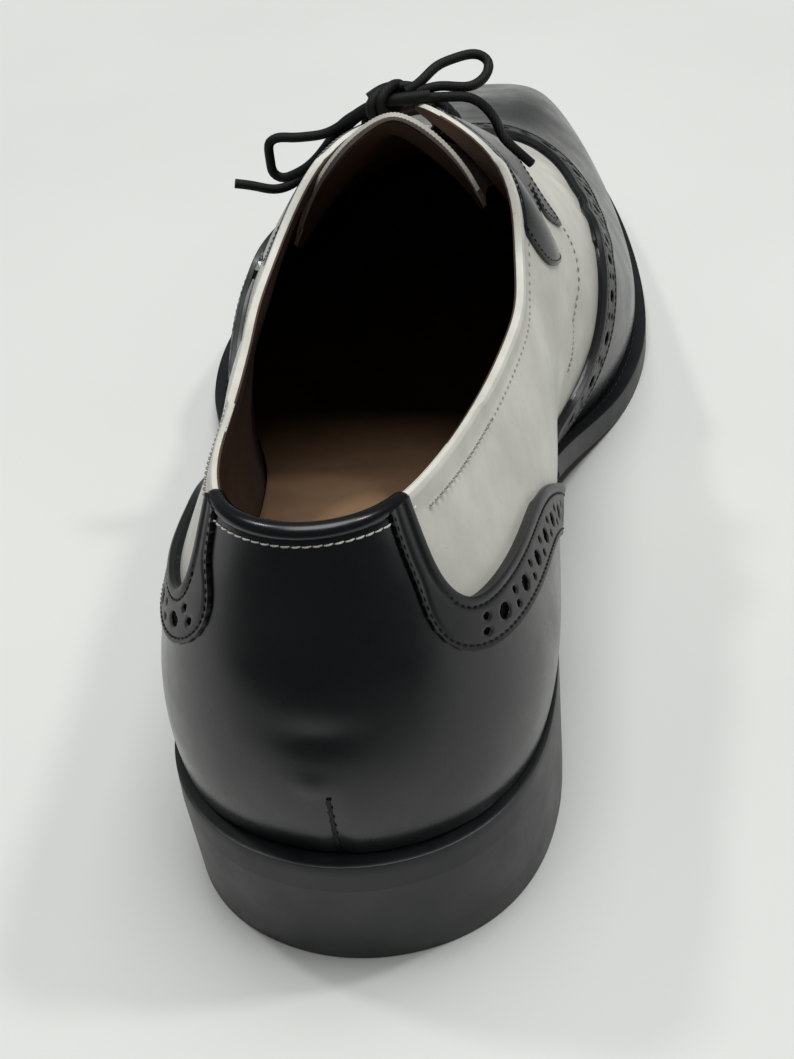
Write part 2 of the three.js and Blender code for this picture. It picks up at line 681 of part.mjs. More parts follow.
// Upper: hollow wall, thicker in a soft roll along the back of the collar
const rollHeight = CREST[0].height * INSTEP_HEIGHT - ROLL_DEPTH;
function wallInside(point) {
  const back = clamp01((ROLL_END - point.y) / ROLL_FADE);
  const level = Math.exp(-(((point.z - rollHeight) / ROLL_DEPTH) ** 2));
  return -WALL - COLLAR_ROLL * back * level;
}

// Round holes along the surface normal at each eyelet
function eyeletDrills() {
  const drills = [];
  for (const { at, v } of EYELETS) {
    for (const side of ['inner', 'outer']) {
      const { point, normal } = surfaceFrame(at, side, v);
      const drill = new THREE.CylinderGeometry(EYELET / 2, EYELET / 2, DRILL_LENGTH, EYELET_SIDES);
      drill.applyQuaternion(new THREE.Quaternion().setFromUnitVectors(new THREE.Vector3(0, 1, 0), normal));
      drill.translate(point.x, point.y, point.z);
      drills.push(toSolid(drill));
    }
  }
  return drills;
}

// Point and outward normal of the upper's surface
function surfaceFrame(at, side, v) {
  const step = 0.01;
  const point = upperPoint(at, side, v);
  const forward = upperPoint(at + step, side, v).sub(upperPoint(at - step, side, v));
  const upward = upperPoint(at, side, v + step).sub(upperPoint(at, side, v - step));
  const normal = forward.cross(upward).normalize().multiplyScalar(signOf(side));
  return { point, normal };
}

const drills = eyeletDrills();
const drilled = (solid) => drills.reduce((rest, drill) => rest.subtract(drill), solid);

// Bottom: top piece, heel stack, outsole and welt
function addBottom() {
  addPiece('top_piece', heelBlock(0, TOP_PIECE), 'rubber');
  addPiece('heel_stack', heelBlock(TOP_PIECE + GAP, HEEL_HEIGHT - GAP), 'edgeLeather');
  addPiece('outsole', soleSlab(() => EDGE_STEP, 0, OUTSOLE), 'edgeLeather');
  addPiece('welt', soleRing(0, WELT_RING, WELT_BASE, WELT_TOP), 'edgeLeather');
  const insoleInset = (at) => shelfAt(at) * WELT_SHELF + WALL + 2 * GAP;
  addPiece('insole', soleSlab(insoleInset, FEATHER, FEATHER + INSOLE), 'tanLeather');
}

// Upper and tongue
function addUpper() {
  addPiece('upper', toGeometry(drilled(toSolid(thicken(lastSheet(), wallInside, 0)))), 'whiteLeather');
  const tongue = lastSheet({
    pointAt: tonguePoint,
    from: TONGUE_CREST[0].at,
    to: TONGUE_CREST[TONGUE_CREST.length - 1].at,
    columns: 14,
    rows: 7,
  });
  addPiece('tongue', thicken(tongue, -TONGUE_DEPTH - TONGUE, -TONGUE_DEPTH), 'whiteLeather');
}

// Black overlays: counter, wing cap and facings, the first two with a band along the edge
const counterCut = (column, heightColumn) => sidePrism([
  ...COUNTER_EDGE.map((row) => [alongToY(row[column]), row[heightColumn] * INSTEP_HEIGHT]),
  [BEHIND, 0],
  [BEHIND, FAR],
], -BALL_WIDTH, BALL_WIDTH);

// Region in front of the wing's edge; its tails drop by an amount for the band's front edge
function wingCut(across, along, drop) {
  const corner = (side, y) => [signOf(side) * BALL_WIDTH, y];
  const plan = (side) => WING_TOP[side].map((row) => [row[across] * BALL_WIDTH, alongToY(row[along])]);
  const inner = plan('inner');
  const outer = plan('outer');
  const top = topPrism([
    ...inner,
    corner('inner', inner[inner.length - 1][1]),
    corner('inner', FAR),
    corner('outer', FAR),
    corner('outer', outer[outer.length - 1][1]),
    ...outer.reverse().slice(0, -1),
  ], 0, FAR);
  const tails = ['inner', 'outer'].map((side) => {
    const edge = WING_TAIL[side].map((row) => [alongToY(row.along), row.height * INSTEP_HEIGHT - drop]);
    const front = alongToY(WING_TOP[side][4][along]);
    const outline = [[front, 0], [front, edge[0][1]], ...edge, [edge[edge.length - 1][0], 0]];
    const near = TAIL_START * signOf(side);
    const far = BALL_WIDTH * signOf(side);
    return sidePrism(outline, Math.min(near, far), Math.max(near, far));
  });
  return top.add(tails[0]).add(tails[1]);
}

function addOverlays() {
  const counter = counterCut('along', 'height');
  const heelSpan = { v0: OVERLAY_START, to: COUNTER_END, columns: COUNTER_COLUMNS };
  const bandLow = 2 * GAP + OVERLAY;
  addPiece('counter', overlay(GAP, GAP + OVERLAY, counter, heelSpan), 'blackLeather');
  const counterBand = counter.subtract(counterCut('bandAlong', 'bandHeight'));
  for (const side of ['inner', 'outer']) {
    const span = { ...heelSpan, sides: [side] };
    addPiece(`counter_band_${side}`, overlay(bandLow, bandLow + BAND, counterBand, span), 'blackLeather');
  }
  const clear = counter.translate([0, 2 * GAP + BAND, 0]);
  const wing = wingCut('across', 'along', 0).subtract(clear);
  const toeSpan = { v0: OVERLAY_START, from: WING_FROM, columns: WING_COLUMNS };
  addPiece('wing_cap', overlay(GAP, GAP + OVERLAY, wing, toeSpan), 'blackLeather');
  const wingBand = wing.subtract(wingCut('bandAcross', 'bandAlong', BAND_WIDTH));
  addPiece('wing_band', overlay(bandLow, bandLow + BAND, wingBand, toeSpan), 'blackLeather');
  const facingEdge = FACING_EDGE.map(sidePoint);
  const facing = sidePrism([
    [facingEdge[0][0], FAR],
    ...facingEdge,
    [facingEdge[facingEdge.length - 1][0], FAR],
  ], -BALL_WIDTH, BALL_WIDTH);
  for (const side of ['inner', 'outer']) {
    const sheet = lastSheet({
      sides: [side],
      from: FACING_FROM,
      to: THROAT_BASE,
      v0: FACING_START,
      v1: FACING_MARGIN,
      columns: 16,
      rows: 8,
    });
    const solid = drilled(toSolid(thicken(sheet, GAP, GAP + OVERLAY)).intersect(facing));
    addPiece(`facing_${side}`, toGeometry(solid), 'blackLeather');
  }
}

// Round cord along a route of [x, y, z] points, laid as a smooth curve
function cord(route) {
  const points = route.map((point) => new THREE.Vector3(...point));
  const path = new THREE.CatmullRomCurve3(points, false, 'centripetal');
  const steps = Math.ceil(path.getLength() / (CORD_STEP * LACE));
  const radius = LACE / 2;
  const section = new THREE.Shape();
  for (let i = 0; i < CORD_SIDES; i++) {
    const angle = 2 * Math.PI * i / CORD_SIDES;
    const [x, y] = [radius * Math.cos(angle), radius * Math.sin(angle)];
    if (i === 0) section.moveTo(x, y);
    else section.lineTo(x, y);
  }
  section.closePath();
  const geometry = new THREE.ExtrudeGeometry(section, { steps, bevelEnabled: false, extrudePath: path });
  geometry.deleteAttribute('normal');
  geometry.deleteAttribute('uv');
  return mergeVertices(geometry, 1e-3);
}

// Bow behind the top bar, as chosen points in millimetres: knot, two loops and two free ends
const BOW = {
  lace_knot: [
    [-7.2, 98.2, 98.6],
    [-5, 97.6, 99.5],
    [-2.5, 97.2, 100.2],
    [0.4, 97.2, 100.6],
    [3.2, 97.6, 100.8],
    [5.2, 98, 100.8],
  ],
  lace_loop_inner: [
    [3, 99.2, 102.9],
    [6.2, 103, 104.6],
    [9.5, 106, 104.9],
    [12.5, 108, 104.8],
    [14.4, 108.5, 104.3],
    [15.8, 108, 103.3],
    [16.1, 106, 102.3],
    [15.1, 103.5, 101.4],
    [13, 101.5, 101],
    [10, 100.3, 101.5],
    [6.9, 99.3, 102.1],
  ],
  lace_loop_outer: [
    [-8, 98.3, 98.2],
    [-10.6, 98.2, 96.6],
    [-13.2, 98, 94.8],
    [-16.8, 97.8, 93],
    [-20.6, 97.7, 92.4],
    [-24.3, 97.6, 92.3],
    [-26.8, 97.5, 92.3],
    [-28.5, 97.5, 91.3],
    [-29, 97.6, 89.2],
    [-29, 97.7, 86.4],
    [-28.7, 97.9, 84.2],
    [-27.2, 98.1, 83],
    [-24.8, 98.4, 83.4],
    [-21.2, 99, 85.3],
    [-18.8, 100, 87.4],
    [-16.4, 100.6, 90.3],
    [-14.6, 101, 92.6],
  ],
  lace_end_inner: [
    [6.1, 97.5, 100.6],
    [9.6, 97, 100.9],
    [13.2, 97.6, 100.3],
    [16.2, 99, 97.3],
    [17.8, 102, 92.4],
    [18.8, 105, 87.6],
    [20.8, 106.3, 84.5],
    [23.9, 107.2, 80.8],
  ],
  lace_end_outer: [
    [-15.7, 103.5, 88.8],
    [-19.4, 104.1, 84.6],
    [-22.9, 103, 81.7],
    [-26.2, 101, 79.8],
    [-29.6, 99.5, 79.6],
    [-33.2, 98.6, 80.8],
    [-37.2, 97.6, 82],
  ],
};

// Laces: a straight bar between each pair of eyelets, and the bow
function addLaces() {
  const lift = 2 * GAP + OVERLAY + LACE / 2;
  EYELETS.forEach(({ at, v }, i) => {
    const ends = ['inner', 'outer'].map((side) => {
      const { point, normal } = surfaceFrame(at, side, v);
      return point.addScaledVector(normal, lift);
    });
    const rims = ['inner', 'outer'].map((side) => {
      const { point, normal } = surfaceFrame(at, side, 1);
      return point.addScaledVector(normal, lift);
    });
    const route = [ends[0], rims[0], rims[1], ends[1]].map((point) => point.toArray());
    addPiece(`lace_bar_${i + 1}`, cord(route), 'cord');
  });
  for (const [name, route] of Object.entries(BOW)) addPiece(name, cord(route), 'cord');
}

addBottom();
addUpper();
addOverlays();
addLaces();

export default shoe;
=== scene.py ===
"""Spectator shoe, left foot: the looks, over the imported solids.

The last is worked out again from the same few sizes and tables as the solids, in
millimetres, and every leather piece is laid on it. Meshes are handed over in metres.
A place on the last is a pair: at counts along the outline from heel (0) to toe (14), and
v runs from the feather line over the welt (0) up to the crest (1).
"""
import math

import bpy
import numpy as np
from mathutils import Matrix, Vector


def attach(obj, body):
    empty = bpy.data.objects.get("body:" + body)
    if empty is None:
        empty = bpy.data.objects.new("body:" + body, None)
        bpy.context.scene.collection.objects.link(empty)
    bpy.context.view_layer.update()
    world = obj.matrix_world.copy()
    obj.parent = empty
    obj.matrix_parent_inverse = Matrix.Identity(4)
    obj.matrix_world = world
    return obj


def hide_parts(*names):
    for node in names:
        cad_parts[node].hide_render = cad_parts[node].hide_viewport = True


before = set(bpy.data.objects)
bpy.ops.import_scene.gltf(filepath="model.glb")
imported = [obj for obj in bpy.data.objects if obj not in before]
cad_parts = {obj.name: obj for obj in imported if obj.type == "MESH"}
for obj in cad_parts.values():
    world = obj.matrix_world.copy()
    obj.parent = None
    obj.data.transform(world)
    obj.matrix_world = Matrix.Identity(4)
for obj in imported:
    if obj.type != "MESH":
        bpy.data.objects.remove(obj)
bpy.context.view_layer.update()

MM = 0.001

# Driving sizes of the last and the bottom
SOLE_LENGTH = 306.0
BALL_WIDTH = 108.0
HEEL_REACH = 39.0
HEEL_HEIGHT = 21.6
INSTEP_HEIGHT = 99.0
COLLAR_WIDTH = 49.6
TOE_SPRING = 10.0
BREAST_AT = 36.0
TREAD_START = 140.0
TREAD_END = 160.0

# Layers over the outsole's underside
GAP = 0.3
TOP_PIECE = 5.9
OUTSOLE = 3.6
WELT = 2.1
WELT_SHELF = 5.5
INSOLE = 2.6
WELT_BASE = OUTSOLE + GAP
WELT_TOP = WELT_BASE + WELT
FEATHER = WELT_TOP + GAP

# Leather
LEATHER = 1.3
LINING = 0.65
OVERLAY = 1.25
BAND = 0.7
BAND_WIDTH = 9.5
EYELET = 3.2
LACE = 2.0

INNER = 1.0
OUTER = -1.0
SIDES = (INNER, OUTER)


def table(columns, *rows):
    names = columns.split()
    return [dict(zip(names, row)) for row in rows]


# Sole edge from heel back to toe tip: share of the sole length; share of the ball width
OUTLINE = table(
    "along inner outer",
    (0, 0, 0),
    (0.02, 0.181, 0.181),
    (0.068, 0.288, 0.288),
    (0.134, 0.322, 0.322),
    (0.219, 0.307, 0.317),
    (0.31, 0.268, 0.33),
    (0.389, 0.248, 0.38),
    (0.472, 0.287, 0.478),
    (0.552, 0.372, 0.558),
    (0.634, 0.419, 0.577),
    (0.722, 0.406, 0.53),
    (0.818, 0.348, 0.424),
    (0.908, 0.254, 0.285),
    (0.975, 0.137, 0.146),
    (1, 0, 0),
)

# Side wall at the same places: shelf, share of the welt shelf; bulge, share of the ball
# width; rise, share of the wall's height
WALLS = table(
    "shelf bulge_in bulge_out rise",
    (0.78, 0.05, 0.05, 0.36),
    (0.74, 0.05, 0.05, 0.36),
    (0.55, 0.048, 0.038, 0.36),
    (0.42, 0.052, 0.038, 0.36),
    (0.45, 0.057, 0.036, 0.36),
    (0.5, 0.078, 0.034, 0.36),
    (0.6, 0.1, 0.02, 0.37),
    (0.8, 0.11, -0.01, 0.35),
    (0.95, 0.09, -0.014, 0.31),
    (1, 0.085, 0.005, 0.31),
    (1, 0.06, 0.012, 0.36),
    (1, 0.038, 0.018, 0.45),
    (1, 0.024, 0.024, 0.56),
    (1, 0.016, 0.016, 0.6),
    (1, 0.014, 0.014, 0.62),
)

# Shoulder under the crest at the same places
SHOULDERS = table(
    "inner outer drop pitch",
    (0.028, 0.028, 0.34, 0),
    (0.04, 0.04, 0.34, 0),
    (0.072, 0.072, 0.34, 0),
    (0.085, 0.085, 0.34, 0),
    (0.07, 0.075, 0.34, 0),
    (0.065, 0.08, 0.34, 0),
    (0.085, 0.09, 0.33, -0.2),
    (0.17, 0.13, 0.2, -0.5),
    (0.22, 0.13, 0.07, -0.62),
    (0.21, 0.16, 0.02, -0.58),
    (0.19, 0.17, 0, -0.48),
    (0.17, 0.17, 0, -0.38),
    (0.18, 0.2, 0, -0.33),
    (0.2, 0.2, 0, -0.36),
    (0.2, 0.2, 0, -0.4),
)

# Top line, facing edges and ridge; at counts places of the outline
CREST = table(
    "at along middle half height fall",
    (0, 0.034, 0, 0, 0.926, 0),
    (1, 0.0425, 0, 0.171, 0.923, 0),
    (2, 0.07, 0, 0.292, 0.906, 0),
    (3, 0.1275, 0, 0.379, 0.865, 0),
    (4, 0.209, 0.001, 0.443, 0.808, 0),
    (5, 0.297, 0.002, 0.5, 0.784, 0),
    (6, 0.366, 0, 0.48, 0.823, 0.012),
    (6.7, 0.409, 0.001, 0.361, 0.9535, 0.043),
    (7.15, 0.434, -0.022, 0.181, 1.007, 0.05),
    (7.6, 0.454, -0.0167, 0.078, 0.988, 0.032),
    (8.2, 0.497, -0.024, 0.09, 0.9, 0.022),
    (8.8, 0.543, -0.027, 0.065, 0.81, 0.01),
    (9.2, 0.572, -0.028, 0, 0.757, 0),
    (10, 0.624, -0.028, 0, 0.66, 0),
    (11, 0.7, -0.024, 0, 0.548, 0),
    (12, 0.775, -0.014, 0, 0.474, 0),
    (13, 0.836, -0.004, 0, 0.424, 0),
    (14, 0.857, 0, 0, 0.405, 0),
)
THROAT_BASE = 9.2

# Upper edge of the counter in side view, shares of sole length and instep height
COUNTER_EDGE = table(
    "along height",
    (0.072, 0.97),
    (0.067, 0.889),
    (0.0621, 0.818),
    (0.0608, 0.7525),
    (0.067, 0.707),
    (0.085, 0.683),
    (0.121, 0.66),
    (0.16, 0.633),
    (0.193, 0.606),
    (0.2255, 0.561),
    (0.258, 0.49),
    (0.291, 0.404),
    (0.3235, 0.313),
    (0.35, 0.2),
    (0.362, 0.1),
)

# Rear edge of the wing cap in plan, from its peak outwards
WING_INNER = table(
    "across along",
    (-0.028, 0.622),
    (0.005, 0.65),
    (0.042, 0.68),
    (0.088, 0.704),
    (0.139, 0.714),
    (0.19, 0.704),
    (0.231, 0.676),
    (0.264, 0.6405),
    (0.292, 0.601),
    (0.319, 0.5556),
)
WING_OUTER = table(
    "across along",
    (-0.028, 0.622),
    (-0.06, 0.65),
    (-0.097, 0.68),
    (-0.148, 0.7026),
    (-0.213, 0.711),
    (-0.273, 0.699),
    (-0.324, 0.67),
    (-0.366, 0.634),
    (-0.398, 0.598),
    (-0.421, 0.565),
)

# Upper edge of the wing's tails in side view
TAIL_INNER = table(
    "along height",
    (0.6, 0.5),
    (0.58, 0.498),
    (0.562, 0.488),
    (0.5425, 0.444),
    (0.526, 0.374),
    (0.51, 0.303),
    (0.493, 0.258),
    (0.474, 0.23),
    (0.448, 0.232),
    (0.4216, 0.258),
    (0.389, 0.298),
    (0.356, 0.338),
    (0.31, 0.384),
)
TAIL_OUTER = table(
    "along height",
    (0.61, 0.389),
    (0.5915, 0.389),
    (0.565, 0.379),
    (0.5425, 0.343),
    (0.5196, 0.288),
    (0.497, 0.2505),
    (0.467, 0.237),
    (0.438, 0.2525),
    (0.405, 0.288),
    (0.3725, 0.323),
    (0.31, 0.384),
)

# Lower edge of the facings in side view, with its two prongs
FACING_EDGE = table(
    "along height",
    (0.572, 0.7),
    (0.546, 0.757),
    (0.523, 0.78),
    (0.503, 0.788),
    (0.491, 0.779),
    (0.485, 0.739),
    (0.4885, 0.687),
    (0.4915, 0.642),
    (0.479, 0.672),
    (0.47, 0.727),
    (0.4716, 0.768),
    (0.464, 0.722),
    (0.4526, 0.689),
    (0.428, 0.682),
    (0.405, 0.707),
    (0.3856, 0.74),
    (0.379, 0.778),
    (0.377, 0.85),
)
FACING_MARGIN = 0.965

EYELETS = table("at v", (7.75, 0.92), (8.15, 0.92), (8.55, 0.92), (8.92, 0.915))

# Bow behind the top bar, as in the solids, in millimetres
BOW = {
    "lace_knot": (
        (-7.2, 98.2, 98.6), (-5, 97.6, 99.5), (-2.5, 97.2, 100.2), (0.4, 97.2, 100.6),
        (3.2, 97.6, 100.8), (5.2, 98, 100.8),
    ),
    "lace_loop_inner": (
        (3, 99.2, 102.9), (6.2, 103, 104.6), (9.5, 106, 104.9), (12.5, 108, 104.8),
        (14.4, 108.5, 104.3), (15.8, 108, 103.3), (16.1, 106, 102.3), (15.1, 103.5, 101.4),
        (13, 101.5, 101), (10, 100.3, 101.5), (6.9, 99.3, 102.1),
    ),
    "lace_loop_outer": (
        (-8, 98.3, 98.2), (-10.6, 98.2, 96.6), (-13.2, 98, 94.8), (-16.8, 97.8, 93),
        (-20.6, 97.7, 92.4), (-24.3, 97.6, 92.3), (-26.8, 97.5, 92.3), (-28.5, 97.5, 91.3),
        (-29, 97.6, 89.2), (-29, 97.7, 86.4), (-28.7, 97.9, 84.2), (-27.2, 98.1, 83),
        (-24.8, 98.4, 83.4), (-21.2, 99, 85.3), (-18.8, 100, 87.4), (-16.4, 100.6, 90.3),
        (-14.6, 101, 92.6),
    ),
    "lace_end_inner": (
        (6.1, 97.5, 100.6), (9.6, 97, 100.9), (13.2, 97.6, 100.3), (16.2, 99, 97.3),
        (17.8, 102, 92.4), (18.8, 105, 87.6), (20.8, 106.3, 84.5), (23.9, 107.2, 80.8),
    ),
    "lace_end_outer": (
        (-15.7, 103.5, 88.8), (-19.4, 104.1, 84.6), (-22.9, 103, 81.7), (-26.2, 101, 79.8),
        (-29.6, 99.5, 79.6), (-33.2, 98.6, 80.8), (-37.2, 97.6, 82),
    ),
}
BOW_HEART = (-2.5, 98.2, 100.2)

# Camera of the photograph, in the shoe's frame
CAMERA_PLACE = (59.3, -236.2, 258.8)
CAMERA_PITCH = math.radians(32.7)
CAMERA_YAW = -0.02
PHOTO_SIZE = (794, 1059)
PHOTO_FOCAL = 994.8
SHOE_MIDDLE_PX = (249, 634)
SHOE_ZOOM = 1.84


# ---- Curves and the last

def spline(rows, column, level=(False, False)):
    """Cubic spline through one column, as a function of the place."""
    x = np.array([row.get("at", i) for i, row in enumerate(rows)], float)
    y = np.array([row[column] for row in rows], float)
    last = len(x) - 1
    span = np.diff(x)
    system = np.eye(last + 1)
    right = np.zeros(last + 1)
    for i in range(1, last):
        system[i, i - 1:i + 2] = span[i - 1], 2 * (span[i - 1] + span[i]), span[i]
        right[i] = 6 * ((y[i + 1] - y[i]) / span[i] - (y[i] - y[i - 1]) / span[i - 1])
    if level[0]:
        system[0, :2] = 2 * span[0], span[0]
        right[0] = 6 * (y[1] - y[0]) / span[0]
    if level[1]:
        system[last, last - 1:] = span[-1], 2 * span[-1]
        right[last] = -6 * (y[last] - y[last - 1]) / span[-1]
    bend = np.linalg.solve(system, right)

    def value(at):
        at = np.clip(at, x[0], x[-1])
        i = np.clip(np.searchsorted(x, at, side="left") - 1, 0, last - 1)
        b = (at - x[i]) / span[i]
        a = 1 - b
        curve = ((a ** 3 - a) * bend[i] + (b ** 3 - b) * bend[i + 1]) * span[i] ** 2 / 6
        return a * y[i] + b * y[i + 1] + curve

    return value


BOTH = (True, True)
LAST_PLACE = len(OUTLINE) - 1
SLOT = [row for row in CREST if row["at"] <= THROAT_BASE]
sole_along = spline(OUTLINE, "along", BOTH)
sole_half = {INNER: spline(OUTLINE, "inner"), OUTER: spline(OUTLINE, "outer")}
shelf_at = spline(WALLS, "shelf", BOTH)
rise_at = spline(WALLS, "rise", BOTH)
bulge_at = {INNER: spline(WALLS, "bulge_in", BOTH), OUTER: spline(WALLS, "bulge_out", BOTH)}
shoulder_at = {INNER: spline(SHOULDERS, "inner", BOTH), OUTER: spline(SHOULDERS, "outer", BOTH)}
drop_at = spline(SHOULDERS, "drop", BOTH)
pitch_at = spline(SHOULDERS, "pitch", BOTH)
crest_along = spline(CREST, "along", BOTH)
crest_middle = spline(CREST, "middle", BOTH)
crest_height = spline(CREST, "height", BOTH)
crest_half = spline(SLOT, "half")
crest_fall = spline(SLOT, "fall")


def y_of(share):
    return share * SOLE_LENGTH - HEEL_REACH


def underside(y):
    """Height of the outsole's underside: heel seat, arch, tread, toe spring."""
    arch = np.clip((y - BREAST_AT) / (TREAD_START - BREAST_AT), 0, 1)
    spring = np.clip((y - TREAD_END) / (SOLE_LENGTH - HEEL_REACH - TREAD_END), 0, 1)
    return HEEL_HEIGHT * (0.5 + 0.5 * np.cos(math.pi * arch)) + TOE_SPRING * spring ** 1.8


def plan_point(at, side):
    return np.stack([side * sole_half[side](at) * BALL_WIDTH, y_of(sole_along(at))], -1)


def edge_point(at, side, inset=0.0):
    """Sole edge in plan moved inwards by an inset, and the outward direction."""
    at = np.asarray(at, float)
    step = 0.02
    tangent = plan_point(np.minimum(at + step, LAST_PLACE), side)
    tangent = tangent - plan_point(np.maximum(at - step, 0), side)
    ends = (at <= 0) | (at >= LAST_PLACE)
    tangent[..., 1] = np.where(ends, 0, tangent[..., 1])
    tangent /= np.linalg.norm(tangent, axis=-1, keepdims=True)
    outward = np.stack([tangent[..., 1], -tangent[..., 0]], -1) * side
    inset = np.broadcast_to(inset, at.shape)[..., None]
    return plan_point(at, side) - outward * inset, outward


def meridian(at, side):
    """Four control points of the last at one place, from the feather line up to the crest."""
    edge, outward = edge_point(at, side, shelf_at(at) * WELT_SHELF)
    base = np.stack([edge[..., 0], edge[..., 1], underside(edge[..., 1]) + FEATHER], -1)
    slot = at < THROAT_BASE
    half = np.where(slot, np.maximum(crest_half(at), 0), 0) * COLLAR_WIDTH
    fall = np.where(slot & (side == OUTER), crest_fall(at), 0)
    crest = np.stack([
        crest_middle(at) * BALL_WIDTH + side * half,
        y_of(crest_along(at)),
        (crest_height(at) - fall) * INSTEP_HEIGHT,
    ], -1)
    height = (crest - base)[..., 2]
    out = np.concatenate([outward, np.zeros_like(outward[..., :1])], -1)
    belly = base + out * (bulge_at[side](at) * BALL_WIDTH)[..., None]
    belly[..., 2] += rise_at(at) * height
    reach = shoulder_at[side](at) * BALL_WIDTH
    shoulder = crest + out * reach[..., None]
    shoulder[..., 2] += pitch_at(at) * outward[..., 1] * reach - drop_at(at) * height
    return base, belly, shoulder, crest


def bezier(controls, v):
    a = (1 - v)[..., None]
    b = v[..., None]
    base, belly, shoulder, crest = controls
    return a ** 3 * base + 3 * a * a * b * belly + 3 * a * b * b * shoulder + b ** 3 * crest


def bare_point(at, v, side):
    """Outer surface of the upper without its creases, v from feather (0) to crest (1)."""
    at = np.clip(np.asarray(at, float), 0, LAST_PLACE)
    return bezier(meridian(at, side), np.asarray(v, float))


def bare_frame(at, v, side):
    """Point, outward normal and both tangents of the bare last."""
    step = 0.01
    low_at = np.clip(at - step, 0, LAST_PLACE)
    high_at = np.clip(at + step, 0, LAST_PLACE)
    forward = bare_point(high_at, v, side) - bare_point(low_at, v, side)
    forward /= (high_at - low_at)[..., None]
    upward = (bare_point(at, v + step, side) - bare_point(at, v - step, side)) / (2 * step)
    normal = np.cross(forward, upward) * side
    normal /= np.maximum(np.linalg.norm(normal, axis=-1, keepdims=True), 1e-9)
    return bare_point(at, v, side), normal, forward, upward


def way_along(points):
    """Distance from a line's first point to each of its points."""
    return np.r_[0, np.cumsum(np.linalg.norm(np.diff(points, axis=0), axis=1))]


def sample(points, way, spots):
    """Points of a line at some distances along it."""
    return np.stack([np.interp(spots, way, points[:, k]) for k in range(points.shape[1])], -1)


def smooth_line(points, step=1.5):
    """Chosen points as a smooth open curve with even steps."""
    points = np.array(points, float)
    chord = way_along(points)
    rows = [{"at": c, **{str(k): p[k] for k in range(len(p))}} for c, p in zip(chord, points)]
    count = max(int(chord[-1] / step), 2)
    places = np.linspace(0, chord[-1], count + 1)
    return np.stack([spline(rows, str(k))(places) for k in range(points.shape[1])], -1)


def signed_distance(points, outline):
    """Distance to a closed outline in its own plane, positive inside."""
    ends = np.roll(outline, -1, axis=0)
    best = np.full(len(points), 1e9)
    inside = np.zeros(len(points), bool)
    for start, end in zip(outline, ends):
        run = end - start
        length = max(run @ run, 1e-12)
        share = np.clip(((points - start) @ run) / length, 0, 1)
        away = np.linalg.norm(points - start - share[:, None] * run, axis=1)
        best = np.minimum(best, away)
        crosses = (start[1] > points[:, 1]) != (end[1] > points[:, 1])
        with np.errstate(divide="ignore", invalid="ignore"):
            at_x = start[0] + (points[:, 1] - start[1]) * run[0] / run[1]
        inside ^= crosses & (points[:, 0] < at_x)
    return np.where(inside, best, -best)


# ---- Creases and dents of the leather

# Dart at the back, sewn shut: place across, height of its foot and its tip
DART_AT = (1.8, 28.0, 44.0)

# Flex creases over the vamp: lift, place along, slant away from the middle, half width
FLEX_CREASES = (
    (-0.3, 141, 0.16, 4.4),
    (0.22, 148, 0.16, 4.6),
    (-0.24, 155, 0.2, 4.0),
    (0.15, 134, 0.1, 4.6),
)
VAMP_FLEX = ((146, 26), (58, 22))
VAMP_SLANT = 0.12

# Waves over the quarters: lift, then middle and reach along and up
QUARTER_WAVES = 0.35
QUARTER_REACH = ((62, 40), (60, 22))

# Dents and swellings at the back: lift, middle and reach across, middle and reach up
BACK_DENTS = (
    (-0.5, -5.5, 6.5, 29, 3.2),
    (-0.45, DART_AT[0], 1.6, 33, 9),
    (-0.5, 0.5, 5.5, 55.5, 3),
    (0.35, 1, 12, 63, 6),
    (0.3, -1, 3, 45.5, 2),
)
BACK_DEPTH = 30


def bump(distance, width):
    return np.exp(-(distance / width) ** 2)


def relief(point, side):
    """Soft troughs and ridges of the leather, in millimetres along the normal."""
    x, y, z = point[..., 0], point[..., 1], point[..., 2]
    (y_vamp, y_reach), (z_vamp, z_reach) = VAMP_FLEX
    vamp = bump(y - y_vamp - VAMP_SLANT * x * side, y_reach) * bump(z - z_vamp, z_reach)
    height = np.zeros_like(x)
    for lift, along, slant, width in FLEX_CREASES:
        height += lift * vamp * bump(y - along - slant * np.abs(x), width)
    (y_wave, y_reach), (z_wave, z_reach) = QUARTER_REACH
    waves = np.sin(y / 7.5 + z / 9.0) * np.sin(z / 6.0 - y / 21.0)
    height += QUARTER_WAVES * bump(y - y_wave, y_reach) * bump(z - z_wave, z_reach) * waves
    back = np.clip(-y / BACK_DEPTH, 0, 1) ** 2
    for lift, across, x_reach, up, z_reach in BACK_DENTS:
        height += lift * back * bump(x - across, x_reach) * bump(z - up, z_reach)
    return height


def top_edge_distance(at, v, side):
    """Way from a point of the upper to the collar or the throat's edge."""
    edge = bare_point(at, np.ones_like(v), side)
    way = np.linalg.norm(edge - bare_point(at, v, side), axis=-1)
    return np.where(at < THROAT_BASE, way, 99.0)


# ---- Sheets: columns are place, row share, side, then the distances used for cutting

AT, V, SIDE = 0, 1, 2


def grid_faces(lines, length, turned):
    """Triangles of a grid whose points are stored line by line, turned over or not."""
    faces = []
    for j in range(lines - 1):
        for i in range(length - 1):
            a = j * length + i
            b = a + length
            pair = [(a, b + 1, b), (a, a + 1, b + 1)]
            faces += [(a, b, b + 1), (a, b + 1, a + 1)] if turned else pair
    return np.array(faces)


def grid(side, start, end, v0, v1, columns, rows):
    at = np.linspace(start, end, columns + 1)
    v = np.linspace(v0, v1, rows + 1)
    data = np.stack([np.repeat(at, rows + 1), np.tile(v, columns + 1)], -1)
    data = np.c_[data, np.full(len(data), side)]
    return data, grid_faces(columns + 1, rows + 1, side == INNER)


